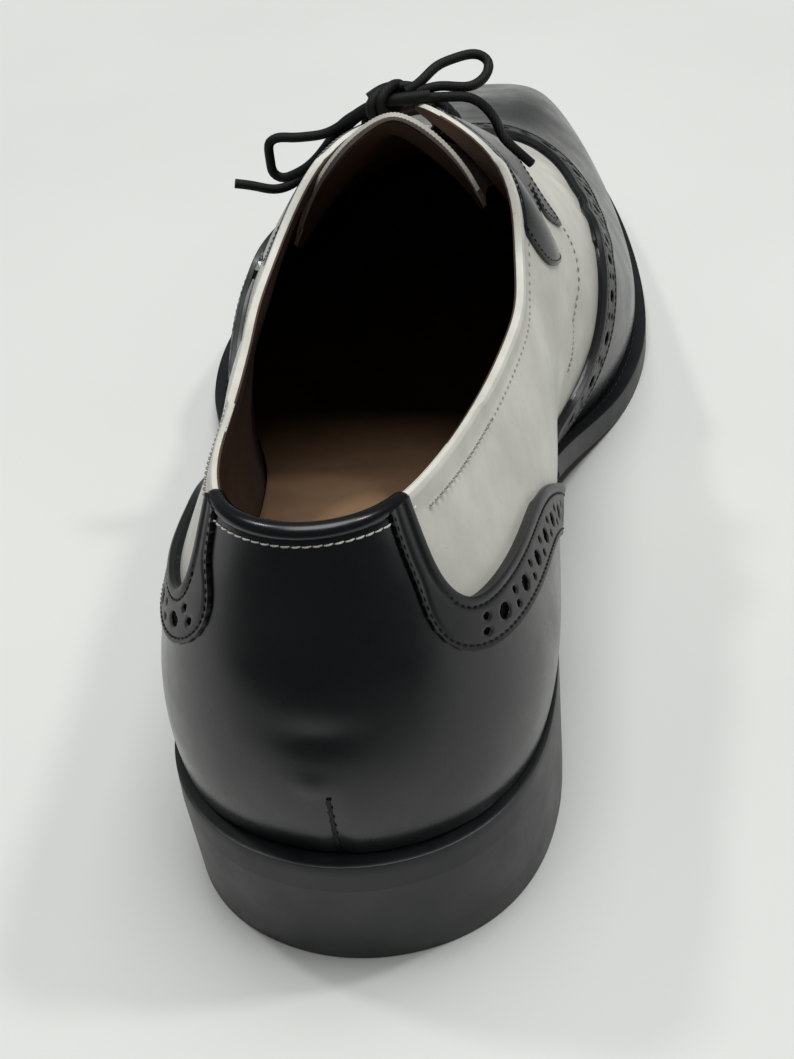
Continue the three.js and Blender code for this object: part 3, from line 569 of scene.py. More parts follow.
def split(sheet, column, level):
    """Add an edge loop where a distance column crosses a level."""
    data, faces = sheet
    over = data[:, column] - level
    above = over >= 0
    count = above[faces].sum(1)
    mixed = (count > 0) & (count < 3)
    kept = [tuple(face) for face in faces[~mixed]]
    added = []
    known = {}

    def crossing(a, b):
        key = (min(a, b), max(a, b))
        if key not in known:
            share = over[a] / (over[a] - over[b])
            row = data[a] + (data[b] - data[a]) * share
            row[column] = level
            known[key] = len(data) + len(added)
            added.append(row)
        return known[key]

    for face in faces[mixed]:
        high = above[face]
        lone = int(np.flatnonzero(high if high.sum() == 1 else ~high)[0])
        a, b, c = face[lone], face[(lone + 1) % 3], face[(lone + 2) % 3]
        ab, ac = crossing(a, b), crossing(a, c)
        kept += [(a, ab, ac), (ab, b, c), (ab, c, ac)]
    if added:
        data = np.r_[data, np.array(added)]
    return data, np.array(kept)


def cut(sheet, column, level=0.0, rounding=0.4):
    """Keep what lies above a level, with two loops along the new edge for its rounding."""
    for loop in (rounding, 0.35 * rounding, 0.0):
        sheet = split(sheet, column, level + loop)
    data, faces = sheet
    keep = data[faces][:, :, column].mean(1) > level
    faces = faces[keep]
    used, inverse = np.unique(faces, return_inverse=True)
    return data[used], inverse.reshape(faces.shape)


def with_column(sheet, values):
    data, faces = sheet
    return np.c_[data, values], faces


def laid(sheet):
    """A sheet's welded points on the creased last, its faces and its values."""
    data, faces = sheet
    bare = np.zeros((len(data), 3))
    points = np.zeros((len(data), 3))
    for side in SIDES:
        own = data[:, SIDE] == side
        if own.any():
            at, v = data[own, AT], data[own, V]
            point, normal, _, _ = bare_frame(at, v, side)
            bare[own] = point
            points[own] = point + normal * relief(point, side)[:, None]
    return weld(bare, points, faces, data)


def join(sheets):
    data = np.concatenate([sheet[0] for sheet in sheets])
    starts = np.cumsum([0] + [len(sheet[0]) for sheet in sheets[:-1]])
    return data, np.concatenate([sheet[1] + start for sheet, start in zip(sheets, starts)])


def weld(bare, points, faces, values, tolerance=2e-3):
    """Join the vertices that meet on the bare last, at the mean of their creased places."""
    keys = np.round(bare / tolerance).astype(np.int64)
    _, first, inverse = np.unique(keys, axis=0, return_index=True, return_inverse=True)
    inverse = inverse.ravel()
    count = np.bincount(inverse)
    points = np.stack([np.bincount(inverse, points[:, k]) / count for k in range(3)], -1)
    faces = inverse[faces]
    a, b, c = faces.T
    faces = faces[(a != b) & (b != c) & (c != a)]
    return points, faces, values[first]


def vertex_normals(points, faces):
    corner = points[faces]
    flat = np.cross(corner[:, 1] - corner[:, 0], corner[:, 2] - corner[:, 0])
    normals = np.zeros_like(points)
    for k in range(3):
        np.add.at(normals, faces[:, k], flat)
    return normals / np.maximum(np.linalg.norm(normals, axis=1, keepdims=True), 1e-12)


def rims(faces):
    edges = {(f[k], f[(k + 1) % 3]) for f in faces.tolist() for k in range(3)}
    return [edge for edge in edges if (edge[1], edge[0]) not in edges]


def thicken(points, faces, low, high):
    """Closed shell of a sheet between two offsets, which may differ from point to point."""
    normals = vertex_normals(points, faces)
    high = np.broadcast_to(high, len(points))[:, None]
    low = np.broadcast_to(low, len(points))[:, None]
    count = len(points)
    shell = np.r_[points + normals * high, points + normals * low]
    sides = [(b, a, a + count, b + count) for a, b in rims(faces)]
    return shell, [tuple(f) for f in faces] + [tuple(f[::-1] + count) for f in faces] + sides


def ring_faces(rings, count):
    """Faces between stacked rings of points."""
    faces = []
    for i in range(rings - 1):
        for k in range(count):
            a, b = i * count + k, i * count + (k + 1) % count
            faces.append((a, b, b + count, a + count))
    return faces


def rounded(distance, radius):
    """How far an edge's rounding lies under full height."""
    share = np.clip(1 - distance / radius, 0, 1)
    return radius * (1 - np.sqrt(1 - share ** 2))


SHARP_ANGLE = math.radians(42)


def new_piece(name, points, faces, material, smooth=True, uv=None):
    mesh = bpy.data.meshes.new(name)
    corners = [tuple(int(i) for i in face) for face in faces]
    mesh.from_pydata((np.asarray(points) * MM).tolist(), [], corners)
    mesh.validate()
    mesh.materials.append(material)
    if uv is not None:
        layer = mesh.uv_layers.new(name="along_across")
        flat = np.asarray(uv)[[loop.vertex_index for loop in mesh.loops]]
        layer.data.foreach_set("uv", flat.ravel())
    if smooth:
        mesh.shade_smooth()
        mesh.set_sharp_from_angle(angle=SHARP_ANGLE)
    mesh.update()
    piece = bpy.data.objects.new(name, mesh)
    bpy.context.scene.collection.objects.link(piece)
    return piece


def fit_piece(piece, slot, *nodes):
    """Ride on the one body and stand for the solids, which are hidden; the slot is not used."""
    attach(piece, "root")
    if nodes:
        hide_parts(*nodes)
    return piece


def add_shell(name, points, faces, low, high, material, slot, *nodes):
    """A sheet thickened between two offsets, as a piece."""
    shell, shell_faces = thicken(points, faces, low, high)
    return fit_piece(new_piece(name, shell, shell_faces, material), slot, *nodes)


# ---- Materials

def linear(code):
    """An sRGB hex value as a linear colour."""
    channels = [int(code[i:i + 2], 16) / 255 for i in (1, 3, 5)]
    return (*(c / 12.92 if c <= 0.04045 else ((c + 0.055) / 1.055) ** 2.4 for c in channels), 1.0)


def add_node(tree, kind, inputs=(), **settings):
    """A node with its settings and its inputs: values, or sockets to link from."""
    node = tree.nodes.new(kind)
    for name, value in settings.items():
        setattr(node, name, value)
    for name, value in dict(inputs).items():
        socket = node.inputs[name]
        if isinstance(value, bpy.types.NodeSocket):
            tree.links.new(value, socket)
        else:
            socket.default_value = value
    return node


def new_material(name):
    material = bpy.data.materials.new(name)
    material.use_nodes = True
    tree = material.node_tree
    tree.nodes.clear()
    return material, tree


def finish_material(tree, shader):
    output = add_node(tree, "ShaderNodeOutputMaterial")
    tree.links.new(shader.outputs["BSDF"], output.inputs["Surface"])


def object_place(tree):
    return add_node(tree, "ShaderNodeTexCoord").outputs["Object"]


def noise(tree, place, size_mm, detail=3.0, roughness=0.5, stretch=(1, 1, 1)):
    mapping = add_node(tree, "ShaderNodeMapping", {"Vector": place, "Scale": stretch})
    return add_node(tree, "ShaderNodeTexNoise", {
        "Vector": mapping.outputs["Vector"],
        "Scale": 1 / (size_mm * MM),
        "Detail": detail,
        "Roughness": roughness,
    }).outputs["Fac"]


def ramp(tree, factor, low, high, dark, light):
    """Two tones between two levels of a pattern."""
    node = add_node(tree, "ShaderNodeValToRGB", {"Fac": factor})
    node.color_ramp.elements[0].position = low
    node.color_ramp.elements[0].color = dark
    node.color_ramp.elements[1].position = high
    node.color_ramp.elements[1].color = light
    return node.outputs["Color"]


def grey(level):
    return (level, level, level, 1.0)


def math_node(tree, operation, *values):
    inputs = dict(enumerate(values))
    return add_node(tree, "ShaderNodeMath", inputs, operation=operation).outputs["Value"]


def mix(tree, factor, first, second):
    inputs = {"Factor": factor, "A": first, "B": second}
    return add_node(tree, "ShaderNodeMix", inputs, data_type="RGBA").outputs["Result"]


IN_HOLE = "#050505"


def leather(name, tones, roughness, grain_mm=0.7, grain=0.12, crease=0.1, coat=0.0, sheen=0.0,
            cloud_mm=16, holes=None, patch=None):
    """Leather: two close tones in soft clouds with marks of a third, pores and faint creases."""
    material, tree = new_material(name)
    place = object_place(tree)
    clouds = noise(tree, place, cloud_mm, 4.0, 0.6)
    colour = ramp(tree, clouds, 0.35, 0.68, linear(tones[0]), linear(tones[1]))
    specks = noise(tree, place, 2.2, 3.0, 0.75)
    marks = ramp(tree, specks, 0.66, 0.76, grey(0), grey(0.6))
    colour = mix(tree, marks, colour, linear(tones[2]))
    # A patch of a paler tone; on the sock it is painted light over a worn place
    if patch is not None:
        area, tone = patch
        colour = mix(tree, area(tree, place), colour, linear(tone))
    pores = add_node(tree, "ShaderNodeTexVoronoi", {
        "Vector": place,
        "Scale": 1 / (grain_mm * MM),
    }, feature="F1").outputs["Distance"]
    folds = noise(tree, place, 7.0, 5.0, 0.62, (1.0, 0.45, 1.6))
    folds = math_node(tree, "MULTIPLY", folds, crease * 10)
    height = math_node(tree, "MULTIPLY_ADD", pores, grain, folds)
    wear = noise(tree, place, 9.0, 4.0, 0.6)
    shade = ramp(tree, wear, 0.3, 0.75, grey(roughness - 0.05), grey(roughness + 0.09))
    gloss = 0.5
    if holes is not None:
        mask = holes(tree)
        gloss = math_node(tree, "MULTIPLY_ADD", mask, -0.5, 0.5)
        colour = mix(tree, mask, colour, linear(IN_HOLE))
        height = math_node(tree, "SUBTRACT", height, math_node(tree, "MULTIPLY", mask, 3.5))
        shade = math_node(tree, "MAXIMUM", shade, mask)
    surface = add_node(tree, "ShaderNodeBump", {
        "Height": height,
        "Strength": 0.6,
        "Distance": 0.12 * MM,
    })
    shader = add_node(tree, "ShaderNodeBsdfPrincipled", {
        "Base Color": colour,
        "Roughness": shade,
        "IOR": 1.5,
        "Specular IOR Level": gloss,
        "Coat Weight": coat,
        "Coat Roughness": 0.16,
        "Coat IOR": 1.5,
        "Sheen Weight": sheen,
        "Normal": surface.outputs["Normal"],
    })
    finish_material(tree, shader)
    return material


# Punched holes: step between large ones, their line across the band, radii, and how far
# the small ones of a pair lie from that line
HOLE_PITCH = 9.0
HOLE_LINE = 5.1
LARGE_HOLE = 1.25
SMALL_HOLE = 0.55
SMALL_APART = 1.25


def punched_holes(tree):
    """Row of large holes with pairs of small ones between, by millimetres along and across."""
    uv = add_node(tree, "ShaderNodeUVMap", uv_map="along_across").outputs["UV"]
    split_uv = add_node(tree, "ShaderNodeSeparateXYZ", {"Vector": uv})
    turn = math_node(tree, "PINGPONG", split_uv.outputs["X"], HOLE_PITCH / 2)
    across = math_node(tree, "SUBTRACT", split_uv.outputs["Y"], HOLE_LINE)
    across = math_node(tree, "ABSOLUTE", across)
    holes = ((0.0, 0.0, LARGE_HOLE), (HOLE_PITCH / 2, SMALL_APART, SMALL_HOLE))
    circles = []
    for along_at, across_at, radius in holes:
        a = math_node(tree, "POWER", math_node(tree, "SUBTRACT", turn, along_at), 2.0)
        b = math_node(tree, "POWER", math_node(tree, "SUBTRACT", across, across_at), 2.0)
        away = math_node(tree, "SQRT", math_node(tree, "ADD", a, b))
        circles.append(math_node(tree, "SUBTRACT", away, radius))
    return ramp(tree, math_node(tree, "MINIMUM", *circles), 0.0, 0.12, grey(1), grey(0))


# Paler oval on the sock under the heel: painted light, the pool that falls in over the collar, on
# a worn place; its middle and its half sizes
SOCK_WEAR_AND_LIGHT = ((-8.0, 26.0), (15.0, 40.0))


def wear_and_painted_light_patch(tree, place):
    """Soft-edged paler oval under the heel of the foot: painted light on a worn place."""
    (x, y), (wide, long) = SOCK_WEAR_AND_LIGHT
    mapping = add_node(tree, "ShaderNodeMapping", {
        "Vector": place,
        "Location": (-x / wide, -y / long, 0),
        "Scale": (1 / (wide * MM), 1 / (long * MM), 0),
    })
    inputs = {0: mapping.outputs["Vector"]}
    away = add_node(tree, "ShaderNodeVectorMath", inputs, operation="LENGTH")
    return ramp(tree, away.outputs["Value"], 0.82, 1.08, grey(0.7), grey(0))


# Smooth white calf, finished with wax: soft gloss, faint grey clouds, small marks of wear.
# The pore grain is drawn coarser than real calf, which would vanish at this distance
white_calf = leather("white_waxed_calf", ("#c6c5bb", "#dad9d0", "#98948a"), 0.46, 0.8, 0.1, 0.09,
                     coat=0.08)
# Black calf, polished to a shine: near black, broad soft reflections, hardly any grain
black_calf = leather("black_polished_calf", ("#04070b", "#080b0f", "#101317"), 0.27, 0.7, 0.02,
                     0.006, coat=0.1, cloud_mm=24)
# The same calf, punched and less polished: rows of dark holes
punched_calf = leather("black_punched_calf", ("#0b0c0e", "#101114", "#191a1d"), 0.42, 0.7, 0.05,
                       0.02, coat=0.05, holes=punched_holes)
# Unfinished tan lining calf: dull, brown, rubbed
lining_calf = leather("tan_lining_calf", ("#3a2a20", "#50392a", "#2a1e17"), 0.72, 0.9, 0.1, 0.05,
                      cloud_mm=20)
# Vegetable-tanned sock leather: warm brown, smooth under the heel, with a paler oval there that is
# worn and painted light
sock_leather = leather("tan_sock_leather", ("#624a36", "#775c44", "#4a3724"), 0.6, 0.8, 0.12,
                       0.05, cloud_mm=26, patch=(wear_and_painted_light_patch, "#8f7256"))
# Flesh side of white calf at a raw pinked edge: dull and slightly furry
tongue_calf = leather("white_tongue_calf", ("#b0aaa0", "#c9c4ba", "#8b857b"), 0.66, 0.8, 0.14,
                      0.06, sheen=0.2)
# Leather edges inked black and burnished with wax: satin, faintly clouded
edge_leather = leather("black_burnished_edge", ("#090b0e", "#0f1114", "#1c1d21"), 0.44, 1.2, 0.03,
                       0.03, coat=0.03, cloud_mm=18)
# Black heel rubber: matt, finely speckled
heel_rubber = leather("black_heel_rubber", ("#090b0e", "#0f1114", "#17181b"), 0.44, 1.0, 0.03,
                      0.02, cloud_mm=12)


# Coarser than the twist of real thread, so that it shows
RIB_PITCH = 1.6


def thread(name, tone, roughness):
    """Twisted thread: dull, with a fine slanting rib across each stitch."""
    material, tree = new_material(name)
    place = object_place(tree)
    colour = ramp(tree, noise(tree, place, 0.8, 2.0), 0.3, 0.7, linear(tone[0]), linear(tone[1]))
    rib = add_node(tree, "ShaderNodeTexWave", {
        "Vector": place,
        "Scale": 1 / (RIB_PITCH * MM),
        "Distortion": 0.6,
    })
    surface = add_node(tree, "ShaderNodeBump", {
        "Height": rib.outputs["Fac"],
        "Strength": 0.5,
        "Distance": 0.1 * MM,
    })
    shader = add_node(tree, "ShaderNodeBsdfPrincipled", {
        "Base Color": colour,
        "Roughness": roughness,
        "IOR": 1.4,
        "Normal": surface.outputs["Normal"],
    })
    finish_material(tree, shader)
    return material


# Linen thread, white and grey: dull and pale. Black: waxed, a little glossier
white_thread = thread("white_linen_thread", ("#b9b6ae", "#e2e0da"), 0.7)
grey_thread = thread("grey_linen_thread", ("#77736b", "#a19c93"), 0.7)
black_thread = thread("black_linen_thread", ("#060607", "#101012"), 0.55)
# Round waxed cotton cord: black, dull sheen, braided
waxed_cord = thread("black_waxed_cord", ("#040405", "#09090a"), 0.7)


# ---- Camera first

def camera_axes():
    """Axes of the photograph's camera, turned by the least angle on to the shoe's middle."""
    s, c = math.sin(CAMERA_YAW), math.cos(CAMERA_YAW)
    level, fall = math.cos(CAMERA_PITCH), math.sin(CAMERA_PITCH)
    forward = Vector((s * level, c * level, -fall))
    right = Vector((c, -s, 0))
    up = right.cross(forward)
    dx = (SHOE_MIDDLE_PX[0] - PHOTO_SIZE[0] / 2) / PHOTO_FOCAL
    dy = (PHOTO_SIZE[1] / 2 - SHOE_MIDDLE_PX[1]) / PHOTO_FOCAL
    aim = (forward + right * dx + up * dy).normalized()
    turn = forward.rotation_difference(aim)
    return turn @ right, turn @ up, turn @ -forward


def add_camera():
    data = bpy.data.cameras.new("camera")
    data.sensor_fit = "VERTICAL"
    data.sensor_height = 24
    data.lens = PHOTO_FOCAL * SHOE_ZOOM * data.sensor_height / PHOTO_SIZE[1]
    data.clip_start = 0.01
    camera = bpy.data.objects.new("camera", data)
    right, up, back = camera_axes()
    turn = Matrix((right, up, back)).transposed().to_4x4()
    camera.matrix_world = Matrix.Translation(Vector(CAMERA_PLACE) * MM) @ turn
    bpy.context.scene.collection.objects.link(camera)
    bpy.context.scene.camera = camera


add_camera()


# ---- Laces

def cord_curve(name, points, diameter, material):
    data = bpy.data.curves.new(name, "CURVE")
    data.dimensions = "3D"
    data.bevel_depth = diameter / 2 * MM
    data.bevel_resolution = 4
    data.use_fill_caps = True
    line = data.splines.new("POLY")
    line.points.add(len(points) - 1)
    for spot, point in zip(line.points, points):
        spot.co = (*(np.array(point) * MM), 1.0)
    data.materials.append(material)
    piece = bpy.data.objects.new(name, data)
    bpy.context.scene.collection.objects.link(piece)
    return piece


def tube(points, radius, sides=10, taper=None):
    """Tube along a line with flat ends, as points and faces."""
    points = np.asarray(points, float)
    tangents = np.gradient(points, axis=0)
    tangents /= np.linalg.norm(tangents, axis=1, keepdims=True)
    across = np.cross(tangents[0], (0.3, 0.2, 1.0))
    angle = np.linspace(0, 2 * math.pi, sides, endpoint=False)[:, None]
    rings = []
    count = len(points)
    for i, (point, tangent) in enumerate(zip(points, tangents)):
        across = across - tangent * (across @ tangent)
        across /= np.linalg.norm(across)
        other = np.cross(tangent, across)
        own = radius * (taper[i] if taper is not None else 1.0)
        rings.append(point + own * (np.cos(angle) * across + np.sin(angle) * other))
    caps = [tuple(range(sides))[::-1], tuple(range((count - 1) * sides, count * sides))]
    return np.concatenate(rings), ring_faces(count, sides) + caps


def gather(parts):
    """Several point and face lists as one."""
    points, faces, start = [], [], 0
    for part_points, part_faces in parts:
        points.append(part_points)
        faces += [tuple(i + start for i in face) for face in part_faces]
        start += len(part_points)
    return np.concatenate(points), faces


def eyelet_frame(row, side):
    point, normal, _, upward = bare_frame(np.array([row["at"]]), np.array([row["v"]]), side)
    return point[0], normal[0], upward[0] / np.linalg.norm(upward[0])


def eyelet_clearance(point, side):
    """Way from each point to the nearest eyelet's rim."""
    centres = [eyelet_frame(row, side)[0] for row in EYELETS]
    return np.min([np.linalg.norm(point - c, axis=1) for c in centres], axis=0) - EYELET / 2


# A bar over one facing, from under the eyelet to the throat: way in from the eyelet, and
# height over the leather
BAR_LIFT = OVERLAY + LACE / 2 + 0.05
BAR_ROUTE = ((0, -3.0), (0, -0.4), (0.5, 1.3), (1.9, BAR_LIFT), (4.0, BAR_LIFT + 0.5))

# Strands of the knot: the lace wound round its heart, twice, and one strand underneath
WRAP_SIZE = (1.87, 3.5, 2.6)
WRAP_TURN = (-0.4, 2 * math.pi - 0.6)
SECOND_WRAP = (-2.0, -0.3, -0.7)
UNDER_STRAND = ((-5, 1.2, -0.4), (-2.6, 2.0, 0.9), (0.8, 1.6, 1.9), (4.2, 2.0, 1.4), (6, 2.6, 0.4))
KNOT_SWELLING = 1.25
LACE_SIDES = 12

# Points that lead each cord out of the knot and back into it, and what its far end is
BOW_TIES = {
    "lace_loop_inner": ([(0.6, 98.2, 101.6)], [(2.6, 98.4, 101.4)], "knot"),
    "lace_loop_outer": ([(-4.6, 98.2, 99.6)], [(-9.6, 99.8, 96.6)], "knot"),
    "lace_end_inner": ([(-2.5, 98.4, 100.0), (1.4, 97.6, 100.2)], [], "bare"),
    "lace_end_outer": ([(-6.0, 98.6, 98.4), (-11.4, 100.8, 94.2)], [], "bare"),
}


def add_lace_bars():
    bars = []
    for row in EYELETS:
        line = []
        for side in SIDES:
            hole, normal, up = eyelet_frame(row, side)
            half = [hole + up * way + normal * height for way, height in BAR_ROUTE]
            line += half if side == INNER else half[::-1]
        bars.append(tube(smooth_line(line, 0.7), LACE / 2, LACE_SIDES))
    piece = new_piece("lace_bars", *gather(bars), waxed_cord)
    fit_piece(piece, "cord", "lace_bar_1", "lace_bar_2", "lace_bar_3", "lace_bar_4")


def add_knot():
    heart = np.array(BOW_HEART)
    wide, deep, tall = WRAP_SIZE
    wrap = [heart + (wide * math.cos(a), deep * math.cos(a), tall * math.sin(a))
            for a in np.linspace(*WRAP_TURN, 12)]
    second = [spot + SECOND_WRAP for spot in wrap]
    under = [heart + spot for spot in UNDER_STRAND]
    core = smooth_line(BOW["lace_knot"], 0.7)
    parts = [
        tube(smooth_line(wrap, 0.6), LACE / 2, LACE_SIDES),
        tube(smooth_line(second, 0.6), LACE / 2, LACE_SIDES),
        tube(core, LACE / 2 * KNOT_SWELLING, LACE_SIDES),
        tube(smooth_line(under, 0.7), LACE / 2, LACE_SIDES),
    ]
    fit_piece(new_piece("bow_knot", *gather(parts), waxed_cord), "cord", "lace_knot")


def add_laces():
    add_lace_bars()
    add_knot()
    for name, (start, finish, far_end) in BOW_TIES.items():
        line = smooth_line([*start, *BOW[name], *finish], 0.8)
        piece = cord_curve(name + "_cord", line, LACE, waxed_cord)
        fit_piece(piece, "cord", name)


add_laces()


# ---- Seams

# Stitches: step from one to the next, length, radius, height over the leather and slant.
# All are drawn a little coarser than real ones, so that they show
BAND_STITCH = {"pitch": 1.6, "length": 1.2, "radius": 0.17}
FACING_STITCH = {"pitch": 1.4, "length": 1.0, "radius": 0.12}
COLLAR_STITCH = {"pitch": 1.65, "length": 1.4, "radius": 0.16, "lift": 0.06, "tilt": 0.06}
QUARTER_STITCH = {"pitch": 2.1, "length": 1.2, "radius": 0.2, "lift": -0.02}
WELT_STITCH = {"pitch": 3.0, "length": 2.3, "radius": 0.3, "lift": 0.02}


def sewn_line(points, normals, pitch, length, radius, lift=0.05, tilt=0.0):
    """Row of single stitches that dip at both ends, along a line on a surface."""
    way = way_along(points)
    parts = []
    for start in np.arange(pitch / 2, way[-1] - length, pitch):
        spots = start + np.linspace(0, length, 4)
        line = sample(points, way, spots)
        normal = sample(normals, way, spots)
        if tilt:
            along = line[-1] - line[0]
            cross = np.cross(normal[0], along / np.linalg.norm(along))
            line += cross * np.linspace(-tilt, tilt, 4)[:, None]
        line += normal * (lift + radius * np.array([-0.7, 0.35, 0.35, -0.7]))[:, None]
        parts.append(tube(line, radius, 6, taper=(0.7, 1, 1, 0.7)))
    return gather(parts)


def add_seam(name, rows, material):
    """All the rows of stitches of one seam as a piece."""
    fit_piece(new_piece(name, *gather(rows), material), "cord")


def on_last(at, v, side, offset=0.0):
    """Points and normals on the creased last."""
    point, normal, _, _ = bare_frame(at, v, side)
    return point + normal * (relief(point, side) + offset)[:, None], normal


def locate(target, axes, side, at_range=(0.0, LAST_PLACE), steps=14):
    """Places and row shares whose points match a line in plan or side view."""
    at = np.linspace(*at_range, 90)
    v = np.linspace(0.0, 1.0, 46)
    at_grid, v_grid = np.meshgrid(at, v, indexing="ij")
    near = bare_point(at_grid.ravel(), v_grid.ravel(), side)[:, axes]
    nearest = np.argmin(((near[None] - target[:, None]) ** 2).sum(-1), axis=1)
    at, v = at_grid.ravel()[nearest], v_grid.ravel()[nearest]
    for _ in range(steps):
        point, _, forward, upward = bare_frame(at, v, side)
        miss = target - point[:, axes]
        a, b = forward[:, axes], upward[:, axes]
        det = a[:, 0] * b[:, 1] - a[:, 1] * b[:, 0]
        det = np.where(np.abs(det) < 1e-3, 1e-3, det)
        at = at + np.clip((miss[:, 0] * b[:, 1] - miss[:, 1] * b[:, 0]) / det, -0.3, 0.3)
        v = v + np.clip((a[:, 0] * miss[:, 1] - a[:, 1] * miss[:, 0]) / det, -0.1, 0.1)
        at, v = np.clip(at, *at_range), np.clip(v, 0.0, 1.0)
    return at, v


def softened(values, passes):
    """A row of values evened out, with both ends kept."""
    values = np.array(values, float)
    for _ in range(passes):
        values[1:-1] = (values[:-2] + 2 * values[1:-1] + values[2:]) / 4
    return values


def march(at, v, side, turn, distances, steps=10):
    """Rows of a strip that runs beside a line on the last, at a distance per column."""
    rows = [(at, v)]
    for _ in range(steps):
        point, normal, forward, upward = bare_frame(at, v, side)
        tangent = np.gradient(softened(point, 30), axis=0)
        tangent /= np.maximum(np.linalg.norm(tangent, axis=1, keepdims=True), 1e-9)
        away = np.cross(normal, tangent) * turn * (distances / steps)[:, None]
        aa, ab, bb = (forward ** 2).sum(1), (forward * upward).sum(1), (upward ** 2).sum(1)
        da, db = (away * forward).sum(1), (away * upward).sum(1)
        det = np.maximum(aa * bb - ab * ab, 1e-6)
        at = np.clip(at + (da * bb - db * ab) / det, 0, LAST_PLACE)
        v = np.clip(v + (db * aa - da * ab) / det, 0.0, 1.0)
        at, v = softened(at, 4), softened(v, 4)
        rows.append((at, v))
    return rows


def even_line(at, v, side, step):
    """The same line on the last with even steps, an even number of them."""
    way = way_along(bare_point(at, v, side))
    count = 2 * max(int(way[-1] / (2 * step)), 2)
    spots = np.linspace(0, way[-1], count + 1)
    return np.interp(spots, way, at), np.interp(spots, way, v), spots


# Bands: pinked edge, folded bead along the other edge, grooves for the stitches, hollow of
# the punched holes, and rows of points across
PINK_PITCH = 1.9
PINK_DEPTH = 0.35
BAND_FOLD = 1.5
BEAD_HEIGHT = 0.22
GROOVE = 0.2
HOLE_HOLLOW = 0.6
BAND_ROWS = 26
BAND_SEATING = 0.3
BAND_SOFTENING = 40
# Place of the two rows of stitches, as shares of the band's width
STITCH_ROWS = (0.2, 0.88)


def hole_depth(along, across):
    """Hollow of the punched holes in the band's own surface."""
    turn = np.abs((along + HOLE_PITCH / 2) % HOLE_PITCH - HOLE_PITCH / 2)
    across = np.abs(across - HOLE_LINE)
    large = np.hypot(turn, across) - LARGE_HOLE
    small = np.hypot(turn - HOLE_PITCH / 2, across - SMALL_APART) - SMALL_HOLE
    return HOLE_HOLLOW * np.clip(0.5 - np.minimum(large, small) / 0.5, 0, 1)


def band_strip(at, v, side, turn, flip, narrow=0.0):
    """Band along an edge: folded bead, grooves for the stitches, punched field, pinked edge.

    turn: which way from the line the band lies; flip: whether its faces are turned over;
    narrow: length of plain, narrower band at the start of the line.
    """
    at, v, way = even_line(at, v, side, PINK_PITCH / 4)
    at, v = softened(at, BAND_SOFTENING), softened(v, BAND_SOFTENING)
    teeth = PINK_DEPTH * np.abs(np.sin(math.pi * way / PINK_PITCH))
    opening = np.clip((way - 0.5 * narrow) / max(0.5 * narrow, 1e-6), 0, 1)
    width = BAND_WIDTH * (0.5 + 0.5 * opening * opening * (3 - 2 * opening))
    rows = march(at, v, side, turn, width, BAND_ROWS)
    back = teeth / (width / BAND_ROWS)
    rows[-1] = tuple(last + (before - last) * back for last, before in zip(rows[-1], rows[-2]))
    along = HOLE_PITCH / 4 + np.maximum(way - narrow, 0)
    fold = BAND_FOLD / 2
    points, heights, uv = [], [], []
    for i, (row_at, row_v) in enumerate(rows):
        across = width * i / BAND_ROWS
        points.append(on_last(row_at, row_v, side)[0])
        height = OVERLAY + BAND - hole_depth(along, across)
        height += BEAD_HEIGHT * np.sqrt(np.clip(1 - ((across - fold) / fold) ** 2, 0, 1))
        height -= GROOVE * bump(across - BAND_FOLD - 0.35, 0.35)
        height -= GROOVE * bump(across - width + 1.2, 0.4)
        heights.append(height - 0.2 * (i == BAND_ROWS))
        uv.append(np.stack([along, across], -1))
    faces = grid_faces(BAND_ROWS + 1, len(at), flip)
    low = OVERLAY - BAND_SEATING
    shell = thicken(np.concatenate(points), faces, low, np.concatenate(heights))
    return shell, np.tile(np.concatenate(uv), (2, 1)), rows


def band_stitches(rows, side):
    """Stitches in the grooves along both edges of a band."""
    sewn = []
    for share in STITCH_ROWS:
        i = int(share * (len(rows) - 1))
        mixed = share * (len(rows) - 1) - i
        at = rows[i][0] * (1 - mixed) + rows[i + 1][0] * mixed
        v = rows[i][1] * (1 - mixed) + rows[i + 1][1] * mixed
        at, v, _ = even_line(at, v, side, 0.8)
        point, normal = on_last(at, v, side, OVERLAY + BAND - 0.15)
        sewn.append(sewn_line(point, normal, **BAND_STITCH))
    return sewn


def add_bands(name, seam_name, lines, *nodes):
    """Bands along lines of (places, row shares, side, turn, flip, narrow), and their seams."""
    strips, uvs, sewn = [], [], []
    for at, v, side, *rest in lines:
        strip, uv, rows = band_strip(at, v, side, *rest)
        strips.append(strip)
        uvs.append(uv)
        sewn += band_stitches(rows, side)
    piece = new_piece(name, *gather(strips), punched_calf, uv=np.concatenate(uvs))
    fit_piece(piece, "black_leather", *nodes)
    add_seam(seam_name, sewn, black_thread)


def side_view(rows):
    return np.array([(y_of(row["along"]), row["height"] * INSTEP_HEIGHT) for row in rows])


def plan_view(rows):
    return np.array([(row["across"] * BALL_WIDTH, y_of(row["along"])) for row in rows])


SIDE_AXES = [1, 2]
PLAN_AXES = [0, 1]
BEHIND = -80.0
FAR = 400.0

# Columns and rows of the sheets before they are cut
UPPER_GRID = (170, 40)
COUNTER_GRID = (110, 50)
WING_GRID = (150, 56)
FACING_GRID = (90, 50)
COUNTER_PLACES = (0.0, 6.6)
WING_PLACES = (4.4, LAST_PLACE)
FACING_PLACES = (5.7, THROAT_BASE)


# ---- Upper: white leather and its lining

# Turned top line: half width of its bead, height, and the groove beside it
TOP_FOLD = 1.1
TOP_BEAD = 0.55
TOP_GROOVE = 0.22
SKIVED = 3.2

# Front and lower edge of the quarter, which lies over the vamp, in side view
QUARTER_SEAM = (
    (104, 88), (109, 78), (110.5, 71), (114.5, 62), (115, 53), (110, 47), (101, 45), (82, 45),
)
QUARTER_STEP = 0.55


